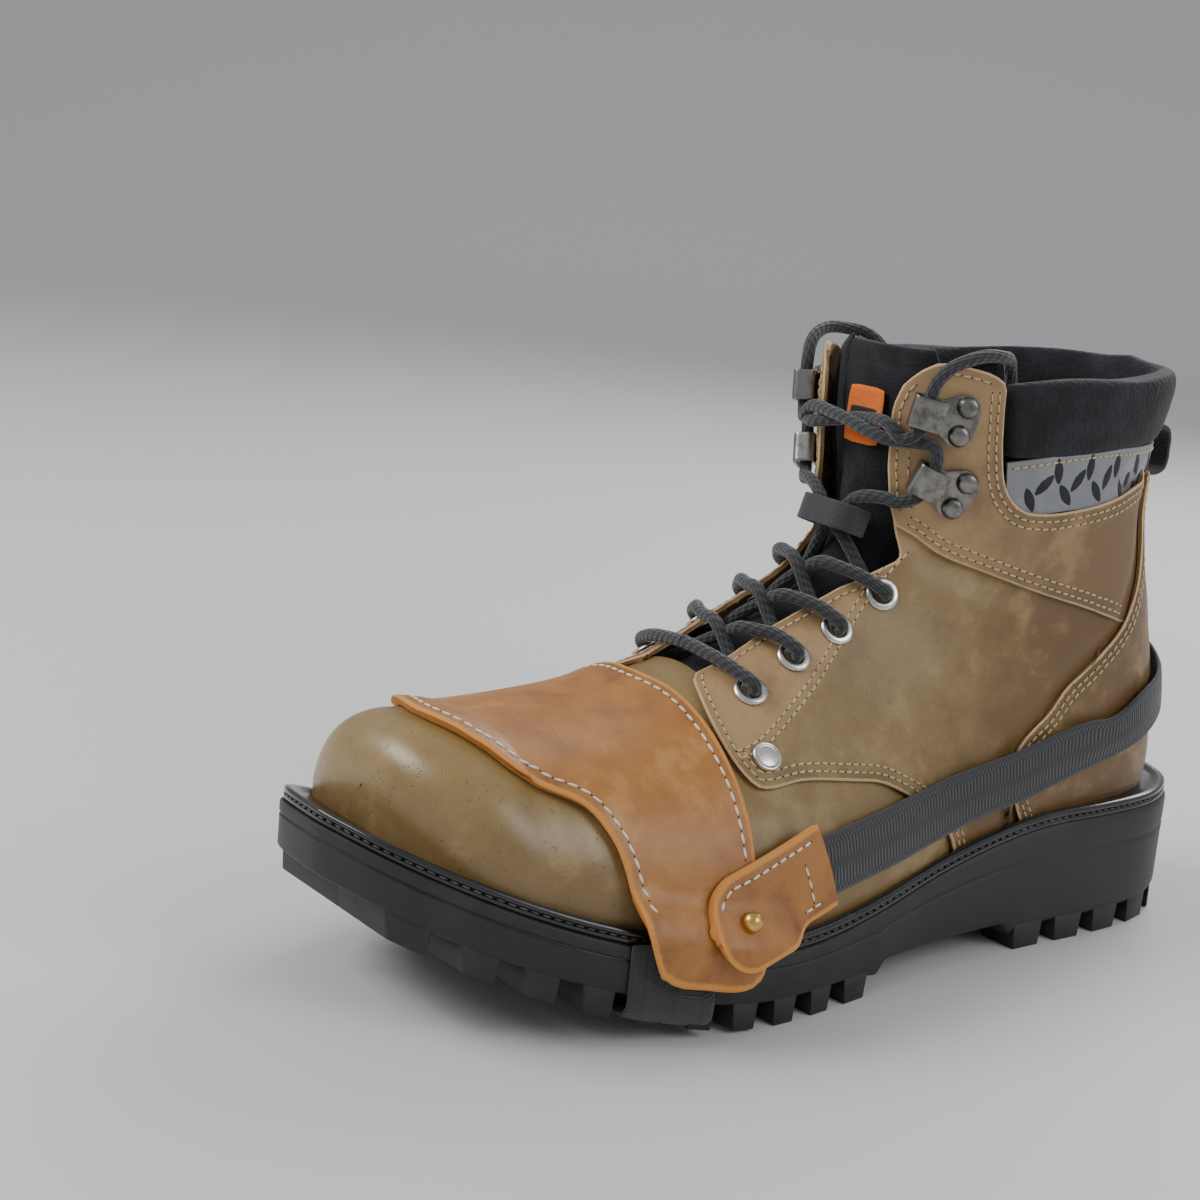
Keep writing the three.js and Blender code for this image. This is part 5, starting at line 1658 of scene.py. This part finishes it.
def unit(vector):
    return vector / np.linalg.norm(vector)


def place_on(s, phi, depth=0.0):
    """Rows: across, along, out and origin of a fastener's own frame, in millimetres."""
    out = unit(normal_at(s, phi))
    across = unit(on_last(s, phi + 0.01 * np.sign(phi)) - on_last(s, phi))
    along = unit(np.cross(out, across))
    return np.array([np.cross(along, out), along, out, on_last(s, phi) + out * depth])


def put_at(place, local):
    return np.asarray(local, float) @ place[:3] + place[3]


def soft_corners(profile, radius, steps=3):
    """A line with its corners rounded off."""
    p = np.array(profile, float)
    line = [p[0]]
    for before, corner, after in zip(p[:-2], p[1:-1], p[2:]):
        arriving, leaving = corner - before, after - corner
        long_in, long_out = np.linalg.norm(arriving), np.linalg.norm(leaving)
        cut = min(radius, 0.45 * long_in, 0.45 * long_out)
        first, last = corner - arriving / long_in * cut, corner + leaving / long_out * cut
        for t in np.linspace(0, 1, steps + 1):
            line.append((1 - t) ** 2 * first + 2 * t * (1 - t) * corner + t * t * last)
    line.append(p[-1])
    return np.array(line)


def turned(name, profile, place, around=32, radius=0.3):
    line = soft_corners(profile, radius)

    def form(u, v):
        radius, height = line[np.rint(v * (len(line) - 1)).astype(int)].T
        turn = 2 * math.pi * u
        return put_at(place, np.column_stack([radius * np.cos(turn), radius * np.sin(turn), height]))
    piece = formed(name, around, len(line) - 1, form)
    outwards(piece)
    return piece


def bent_sheet(name, path, half_at, place, thickness, across=10, step=0.5, bevel=0.2):
    """A strip that follows path, (across, out) points, and is as wide as half_at(distance)."""
    line = resampled(np.asarray(path, float), step)
    run = lengths(line)

    def form(u, v):
        k = np.rint(v * (len(line) - 1)).astype(int)
        side = (2 * u - 1) * half_at(line[k, 0], run[k])
        return put_at(place, np.column_stack([line[k, 0], side, line[k, 1]]))
    piece = formed(name, across, len(line) - 1, form)
    thicken(piece, thickness, 0)
    soften(piece, bevel)
    outwards(piece)
    return piece


# %% Eyelets and rivets
eyelet_profile = [(2.65, -2.2), (3.1, -2.2), (3.1, 0.3), (4.9, 0.25), (4.9, 0.6), (4.35, 1.15), (3.4, 1.3),
                  (2.85, 1.15), (2.65, 0.7), (2.65, -2.2)]
rim_rivet = [(0, -2.2), (1.4, -2.2), (1.4, 0.25), (4.4, 0.25), (4.4, 0.9), (4.1, 1.45), (3.6, 1.5),
             (3.2, 1.15), (2.2, 1.3), (0, 1.5)]
dome_rivet = [(0, -2.2), (1.4, -2.2), (1.4, 1.42), (3.15, 1.42), (3.15, 1.95), (2.85, 2.6), (2.3, 3.1),
              (1.4, 3.4), (0, 3.55)]
for word, side in SIDES:
    for number, (s, phi) in enumerate(EYELETS, 1):
        ring = turned(f"eyelet_ring_{word}_{number}", eyelet_profile, place_on(s, phi * side))
        settle(ring, "root", nickel, [f"eyelet_{word}_{number}"], angle=50)
    disc = turned(f"vamp_rivet_disc_{word}", rim_rivet, place_on(VAMP_RIVET[0], VAMP_RIVET[1] * side))
    settle(disc, "root", nickel, [f"vamp_rivet_{word}"], angle=50)
print("eyelets: 8, vamp rivets: 2")

# %% Lace hooks
hook_path = soft_corners([(9, 0.8), (-10, 0.8), (-10, 6.5), (-2.4, 6.5), (-0.9, 5.9)], 1.3, 5)


def hook_half(u, run):
    plate = np.interp(u, [-2, 2.4, 4.5, 6.5, 8, 8.7, 9], [4.5, 7.3, 7.65, 7.2, 6.0, 4.9, 3.9])
    return np.where(run < 18.0, np.maximum(plate, 4.5 * (u < 8)), 4.5)


for word, side in SIDES:
    for level, (s, phi) in zip(("lower", "upper"), HOOKS):
        place = place_on(s, phi * side)
        hook = bent_sheet(f"hook_plate_{word}_{level}", hook_path, hook_half, place, 1.0)
        settle(hook, "root", gunmetal, [f"hook_{word}_{level}"], angle=40)
        for end in (-1, 1):
            spot = "front" if end * side > 0 else "back"
            seat = place.copy()
            seat[3] = put_at(place, [5, end * 4.25, 0])
            rivet = turned(f"rivet_dome_{word}_{level}_{spot}", dome_rivet, seat, 28)
            settle(rivet, "root", gunmetal, [f"rivet_{word}_{level}_{spot}"], angle=50)
print("hooks: 4, hook rivets: 8")

# %% Tabs and studs
# A tab is drawn flat, round its stud, and then laid over the guard's side.
tab_turn = math.atan2(8.5, 29)
TAB_HALF, TAB_REACH, TAB_IN, TAB_LEATHER = 10, 31, 3.9, 2.5


def tab_chart(along, across, side):
    """Places on a tab, from its stud backwards and upwards, to the last's chart."""
    stud_at = on_last(*STUD)
    y = stud_at[1] + along * math.cos(tab_turn) - across * math.sin(tab_turn)
    z = stud_at[2] + along * math.sin(tab_turn) + across * math.cos(tab_turn)
    return to_chart(np.column_stack([y, z - sole_top_at(y)])) * [1, side]


def tab_form(side, depth):
    def form(u, v):
        share = np.where(v < 0.4, (1 - np.cos(v / 0.4 * math.pi / 2)) * 10, 10 + (v - 0.4) / 0.6 * TAB_REACH)
        along = share - TAB_HALF
        half = np.sqrt(np.maximum(TAB_HALF ** 2 - np.minimum(along, 0) ** 2, 0))
        chart = tab_chart(along, (2 * u - 1) * half, side)
        flat = on_last(chart[:, 0], chart[:, 1])
        return lay(chart[:, 0], chart[:, 1], depth + flare_at(flat))
    return form


def tab_row(points):
    p = np.array(points, float)
    return tab_chart(p[:, 0], p[:, 1], 1)


def half_ring(radius, count):
    """The tab's rounded end."""
    turn = np.linspace(math.pi / 2, 3 * math.pi / 2, count)
    return radius * np.column_stack([np.cos(turn), np.sin(turn)])


stud_profile = [(0, 0.3), (1.9, 0.3), (1.9, 6.6), (2.6, 6.6), (2.9, 7.6), (2.75, 8.7), (2.2, 9.7),
                (1.3, 10.4), (0, 10.7)]
STITCH_LINE = 7.4  # from a tab's middle line to its long rows
for word, side in SIDES:
    tab = formed(f"strap_tab_leather_{word}", 16, 44, tab_form(side, TAB_IN + TAB_LEATHER))
    face_out(tab)
    tab_flat = corners(tab)
    rim = np.vstack([[[TAB_REACH, TAB_HALF]], half_ring(TAB_HALF, 40), [[TAB_REACH, -TAB_HALF]]])
    rim = walk(rim, np.linspace(0, 1, 120))
    rim_chart = tab_row(rim) * [1, side]
    rim_flat = on_last(rim_chart[:, 0], rim_chart[:, 1])
    edge_line = lay(rim_chart[:, 0], rim_chart[:, 1], TAB_IN + TAB_LEATHER + flare_at(rim_flat))
    mark(tab, "edge", distance_to(tab_flat, [edge_line]))
    thicken(tab, TAB_LEATHER)
    soften(tab, 0.55, 3)
    settle(tab, "strap", guard_hide, [f"strap_tab_{word}"])
    rows = [tab_row([(27.5, STITCH_LINE), (14, STITCH_LINE), *half_ring(STITCH_LINE, 17),
                     (14, -STITCH_LINE), (27.5, -STITCH_LINE)]),
            tab_row(np.column_stack([np.full(9, 22.5), np.linspace(-6.4, 6.4, 9)]))]
    rows[0] = smooth_line(rows[0], 4)
    sewn(f"tab_stitches_{word}", tab, rows, thread_white, "strap", pitch=3.2, stitch=2.5,
         width=0.8, side=side)
    stud_flare = float(flare_at(on_last(STUD[0], STUD[1] * side)[None, :])[0])
    stud = turned(f"stud_knob_{word}", stud_profile, place_on(STUD[0], STUD[1] * side, stud_flare), 36, 0.45)
    settle(stud, "root", brass, [f"stud_{word}"], angle=50)

# %% [markdown]
# ## Lacing
# One lace in two strands. It starts in a bar across the lowest eyelets; each strand dives down
# through an eyelet, crosses under the throat and comes up over the next eyelet on the other side,
# runs through the keeper on the tongue, and winds round the two hooks. A cord's UV map is
# stretched to its length, so that the braid's pitch is the same on every cord.

# %% The held lace
UNDER_RUN, OVER_EDGE, OVER_FLANGE, IN_SLOT = -4.9, 2.2, 3.8, 3.65
CROSSING, KEEPER_CROSSING, KEEPER_SLICE = (0.9, -3.3), (-0.2, -4.4), 7.75


def above(s, phi, depth):
    return lay(np.array([s]), np.array([phi]), np.array([depth]))[0]


def hook_point(number, side, u, w, h):
    s, phi = HOOKS[number]
    return put_at(place_on(s, phi * side), [u, side * w, h])


def strand_path(side, order):
    points = [above(EYELETS[0][0] - 0.14, 0, OVER_EDGE),
              above(EYELETS[0][0] - 0.1, side * 0.3, OVER_EDGE + 0.7)]
    for number in range(3):
        (s, phi), (after, after_phi) = EYELETS[number:number + 2]
        points += [above(s, side * phi, OVER_FLANGE - 0.2), above(s + 0.02, side * phi, -1.2),
                   above(s + 0.05, side * phi * 0.88, UNDER_RUN),
                   above(s + 0.24, side * phi * 0.42, UNDER_RUN),
                   above((s + after) / 2, 0, CROSSING[(order + number) % 2]),
                   above(after - 0.32, -side * 0.19, OVER_EDGE - 0.6),
                   above(after - 0.22, -side * 0.29, OVER_EDGE + 0.5),
                   above(after - 0.08, -side * after_phi * 0.76, OVER_EDGE + 1.4)]
        side = -side
    s, phi = EYELETS[3]
    other = -side
    return points + [
        above(s, side * phi, OVER_FLANGE - 0.2), above(s + 0.02, side * phi, -1.2),
        above(s + 0.07, side * phi * 0.86, UNDER_RUN), above(s + 0.4, side * 0.2, UNDER_RUN + 0.3),
        above(KEEPER_SLICE, 0, KEEPER_CROSSING[(order + 1) % 2]),
        above(KEEPER_SLICE + 0.55, other * 0.22, 0.9),
        above(8.6, other * 0.4, OVER_EDGE + 0.5), hook_point(0, other, -10, -9.5, OVER_EDGE + 0.4),
        *(hook_point(0, other, -6, w, IN_SLOT) for w in (-5, 0, 5)),
        hook_point(0, other, -10, 9.5, OVER_EDGE + 0.6), above(10.0, other * 0.34, OVER_EDGE + 0.3),
        above(10.2, 0, CROSSING[order]), above(10.4, side * 0.34, OVER_EDGE + 0.3),
        hook_point(1, side, -10, -9.5, OVER_EDGE + 0.4),
        *(hook_point(1, side, -6, w, IN_SLOT) for w in (-5, 0, 4.5))]


def braided(piece, long_mm):
    """Stretches a cord's UV map to its length: one repeat per 4 mm."""
    uv = piece.data.uv_layers.active.data
    flat = np.empty(len(uv) * 2)
    uv.foreach_get("uv", flat)
    flat[1::2] *= long_mm / 4
    uv.foreach_set("uv", flat)


strands = []
held_length = 0
for side, order in ((1, 0), (-1, 1)):
    path = smooth_line(strand_path(side, order), 8)
    held_length += lengths(path)[-1]
    strands.append(tube("lace_strand", path, LACE_RADIUS, 14, 0.9))
    braided(strands[-1], lengths(path)[-1])
lace_held = join_copies("lace_braid", strands)
settle(lace_held, "root", braid, ["lace"], angle=60)
print("held lace:", round(held_length), "mm,", len(lace_held.data.polygons), "faces")

# %% [markdown]
# The two free ends go over the collar beside the tongue and lie loose inside the boot, down to
# the footbed. Each is a fixed length of limp braid with a hard tip.

# %% Free ends
TAIL_ROUTE = [
    (26.93, 17.33, 164.42), (27.6, 17.9, 168), (29.6, 20.2, 172.2), (32, 24.6, 175.2), (33.4, 30.5, 176.8),
    (33, 37, 176.6), (30, 43, 175.4), (26.6, 48, 170), (26.2, 51, 160), (25.8, 54.5, 145), (25.4, 58, 128),
    (25, 61, 110), (24.8, 61.5, 92), (24.6, 59, 75), (24.2, 54, 60), (23.2, 46, 50.6), (22, 34, 43.8),
    (20, 20, 38.4), (17.5, 4, 34.8), (15.5, -10, 32.6), (14, -22, 31.4)]
TIP_LENGTH = 20
for word, side in SIDES:
    route = smooth_line(np.array(TAIL_ROUTE) * [side, 1, 1], 8)
    tail_length = lengths(route)[-1]
    tail = tube(f"lace_end_{word}", route, LACE_RADIUS, 14, 0.9)
    braided(tail, tail_length)
    settle(tail, "root", braid, [f"lace_tail_{word}"], angle=60)
    heading = unit((route[-1] - route[-2]) * [1, 1, 0])
    tip_path = [route[-1] + heading * 0.3, route[-1] + heading * (TIP_LENGTH + 0.3)]
    tip = tube(f"lace_tip_sleeve_{word}", tip_path, LACE_RADIUS * 0.85, 16, 1.0)
    settle(tip, "root", tip_plastic, [f"lace_tip_{word}"], angle=40)
    centre = to_frame(walk(route, np.linspace(0, 1, 40)))
    print("free end:", word, round(tail_length, 1), "mm")

# %% [markdown]
# ## Tongue and padding
# The tongue is one long pad from the throat up, in place of the tongue's lower and upper parts. The
# collar is a padded roll round the back of the shaft.

# %% Padding helpers
def round_end(v, share):
    """A pad's thickness: none at its two ends, full one share of its length further in."""
    return np.sqrt(np.clip(1 - (1 - np.minimum(v, 1 - v) / share).clip(0, 1) ** 2, 0, 1))


def puffed(piece, most=0.6):
    """Blows a pad up a little as cloth, so that its face is not quite even, and keeps the result."""
    count = len(piece.data.vertices) * 3
    before, after = np.empty(count), np.empty(count)
    piece.data.vertices.foreach_get("co", before)
    modifier = piece.modifiers.new("cloth", "CLOTH")
    cloth_set = modifier.settings
    cloth_set.quality = 4
    cloth_set.use_pressure = True
    cloth_set.uniform_pressure_force = 4
    cloth_set.effector_weights.gravity = 0
    modifier.point_cache.frame_end = 20
    for frame in range(1, 21):
        scene.frame_set(frame)
    blown = piece.evaluated_get(bpy.context.evaluated_depsgraph_get())
    blown.data.vertices.foreach_get("co", after)
    moved = (after - before).reshape(-1, 3)
    far = np.linalg.norm(moved, axis=1, keepdims=True)
    moved *= np.minimum(1, most * MM / np.maximum(far, 1e-9))
    piece.modifiers.remove(modifier)
    piece.data.vertices.foreach_set("co", (before.reshape(-1, 3) + moved).ravel())
    piece.data.update()
    scene.frame_set(1)
    print(piece.name, "moved up to", round(float(np.minimum(far, most * MM).max()) / MM, 2), "mm")


# %% Tongue
TONGUE_BASE, TONGUE_TIP, TONGUE_HALF, TONGUE_DEPTH, TONGUE_PAD = 3.6, 12.3, 25.8, -7.3, 5.2
tongue_rows = np.linspace(TONGUE_BASE, TONGUE_TIP, 91)
tongue_reach = TONGUE_HALF * (0.8 + 0.2 * smooth((tongue_rows - 3.55) / 2))
tongue_reach = tongue_reach * np.sqrt(np.clip(1 - ((tongue_rows - 11.3) / 1.15).clip(0, 1) ** 2 * 0.35, 0, 1))
tongue_phi = phi_at_width(tongue_rows, tongue_reach)


def tongue_form(u, v):
    across, out = roll(2 * math.pi * u)
    s = TONGUE_BASE + (TONGUE_TIP - TONGUE_BASE) * v
    phi = np.interp(s, tongue_rows, tongue_phi)
    end = round_end(v, 0.018)
    channel = 1 - 0.16 * np.exp(-((np.abs(across) - 0.62) / 0.07) ** 2)
    seams = 1 - 0.12 * np.exp(-((s - 8.75) / 0.12) ** 2) - 0.10 * np.exp(-((s - 11.75) / 0.07) ** 2)
    thick = TONGUE_PAD / 2 * end * np.where(out > 0, channel * seams, 1)
    return lay(s, across * phi, TONGUE_DEPTH - TONGUE_PAD / 2 + thick * out)


tongue = formed("tongue_pad", 56, 150, tongue_form)
outwards(tongue)
puffed(tongue, 0.35)
smooth_shaded(tongue, 60)
tongue.data.materials.append(tongue_cloth)
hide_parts("tongue_lower", "tongue_upper")
fold_from, fold_to = (to_frame(lay(s, 0.0, -9.9)[None, :])[0] for s in (8.45, 9.05))
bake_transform(tongue)
print("tongue faces:", len(tongue.data.polygons))

# %% Patch and keeper
patch_place = place_on(10.3, 0.001, -7.2)


def patch_form(half_x, half_y, low, high):
    def form(u, v):
        x, y = (2 * u - 1), (2 * v - 1)
        rim = np.maximum(np.abs(x), np.abs(y))
        corner = 1 - 0.06 * np.clip(np.abs(x) + np.abs(y) - 1.5, 0, 1) * 2
        out = low + (high - low) * smooth((1 - rim) / 0.12)
        return put_at(patch_place, np.column_stack([x * half_x * corner, y * half_y * corner, out]))
    return form


patch = formed("tongue_patch_cloth", 32, 36, patch_form(7.4, 8.4, 0.35, 0.75))
thicken(patch, 0.45)
settle(patch, "tongue", patch_cloth, ["tongue_patch"], angle=50)
inlay = formed("tongue_patch_inlay", 20, 20, patch_form(5.6, 2.3, 0.78, 1.0))
thicken(inlay, 0.2)
settle(inlay, "tongue", inlay_cloth, angle=50)

keeper_place = place_on(KEEPER_SLICE, 0.001)
keeper_path = soft_corners([
    (10.4, -6.6), (10.4, 0.6), (7.2, 2.9), (-7.2, 2.9), (-10.4, 0.6), (-10.4, -6.6)], 2.5, 4)


def keeper_half(u, run):
    return np.full(len(u), 3.9)


keeper = bent_sheet("lace_keeper_webbing", keeper_path, keeper_half, keeper_place, 1.1, 10, 0.8, 0.3)
settle(keeper, "root", webbing, ["lace_keeper"], angle=60)

# %% Pull loop
loop_ring = smooth_line([(0.3, -1.3), (7, -6.7), (13, -6.1), (15.1, -3), (15.3, 0.5), (15.1, 4),
                         (13, 7.2), (7, 7.5), (0.3, 1.3)], 8)
loop_ring = walk(loop_ring, np.linspace(0, 1, 73))
LOOP_Y, LOOP_Z, LOOP_HALF = 126.9, 145.3, 9.9


def loop_form(half, out):
    way = np.gradient(loop_ring, axis=0)
    way = np.stack([way[:, 1], -way[:, 0]], -1) / np.linalg.norm(way, axis=1, keepdims=True)

    def form(u, v):
        k = np.rint(v * 72).astype(int)
        flat = loop_ring[k] + way[k] * out
        pinch = 1 - 0.06 * np.exp(-(v - 0.5) ** 2 / 0.02)
        return np.column_stack([(2 * u - 1) * half * pinch, LOOP_Y + flat[:, 0], LOOP_Z + flat[:, 1]])
    return form


loop = formed("pull_loop_webbing", 20, 72, loop_form(LOOP_HALF, 0.0))
thicken(loop, 1.5, 0)
soften(loop, 0.4)
settle(loop, "loop", webbing, ["pull_loop"], angle=50)

# %% Collar
pad_low = round_the_back(collar_low + [0, 1.2], 0.05, 101)
pad_top = round_the_back(collar_top + [0, -0.6], 0.05, 101)
PAD_MIDDLE, PAD_HALF = -3.3, 4.3


def collar_form(u, v):
    across, out = roll(2 * math.pi * u, 0.42)
    low, top = rows_at(pad_low, v * 200), rows_at(pad_top, v * 200)
    end = round_end(v, 0.012)
    share = ((across * (0.9 + 0.1 * end) + 1) / 2)[:, None]
    chart = low * (1 - share) + top * share
    crown = 0.82 + 0.18 * np.cos(across * math.pi / 2)
    return lay(chart[:, 0], chart[:, 1], PAD_MIDDLE + PAD_HALF * out * crown * end)


collar = formed("collar_roll", 44, 200, collar_form)
outwards(collar)
puffed(collar, 0.6)
settle(collar, "root", pad_cloth, ["collar_pad"], angle=60)
print("collar faces:", len(collar.data.polygons))

# %% [markdown]
# ## Inside
# The lining is one sock from the toe to the collar, open along the throat. The footbed lies on
# the insole board. The steel cap, shank, board and heel stiffener are inside the boot, where
# only a cut shows them; they keep the CAD shapes and get their own finishes.

# %% Lining and footbed
lining_top = to_chart(side_line([
    (34, 134), (38, 124), (43, 115), (62, 112.8), (89, 113.2), (112, 114.2), (160, 114.2)]))
lining_order = np.argsort(lining_top[:, 1])
lining_throat_s = np.linspace(3.95, 12.7, 60)
lining_throat = phi_at_width(lining_throat_s, np.interp(lining_throat_s, THROAT[:, 0], THROAT[:, 1]) + 4.5)


def lining_form(u, v):
    s = 2.4 + 10.25 * v
    first = np.where(s < 3.95, 0.0, np.interp(s, lining_throat_s, lining_throat))
    phi = first + (2 * math.pi - 2 * first) * u
    phi = np.where(phi > math.pi, phi - 2 * math.pi, phi)
    limit = np.interp(np.abs(phi), lining_top[lining_order, 1], lining_top[lining_order, 0], left=12.7)
    return lay(np.minimum(s, limit), phi, -4.6)


lining = formed("lining_sock", 150, 130, lining_form)
edit(lining)
bpy.ops.mesh.dissolve_degenerate(threshold=1e-5)
leave_edit()
face_out(lining)
thicken(lining, 0.9)
settle(lining, "root", lining_cloth, ["lining"], angle=70)

footbed_ring = loop_inset(19)


def footbed_form(u, v):
    rim = footbed_ring[np.rint(u * ROUND).astype(int) % ROUND]
    spine = np.column_stack([np.zeros(len(rim)), np.clip(rim[:, 1], -112, 118)])
    share = np.where(v < 0.04, 1.0, 1 - (v - 0.04) / 0.96)
    flat = spine + (rim - spine) * share[:, None]
    level = np.where(v < 0.02, 2.9, 6.6 + 1.2 * smooth((share - 0.8) / 0.2) * (v > 0.03))
    return np.column_stack([flat, sole_top_at(flat[:, 1]) + level])


footbed = formed("footbed_foam", ROUND, 26, footbed_form)
face_out(footbed)
settle(footbed, "root", pad_cloth, ["footbed"], angle=60)

# %% Finishes of the hidden parts
for name, finish, own_slot in (
        ("steel_shank", inner_steel, "steel"), ("steel_toe_cap", inner_steel, "steel"),
        ("heel_stiffener", board, "fibre_board"), ("insole_board", board, "fibre_board")):
    hidden = bpy.data.objects[name]
    hidden.data.materials.clear()
    hidden.data.materials.append(finish)
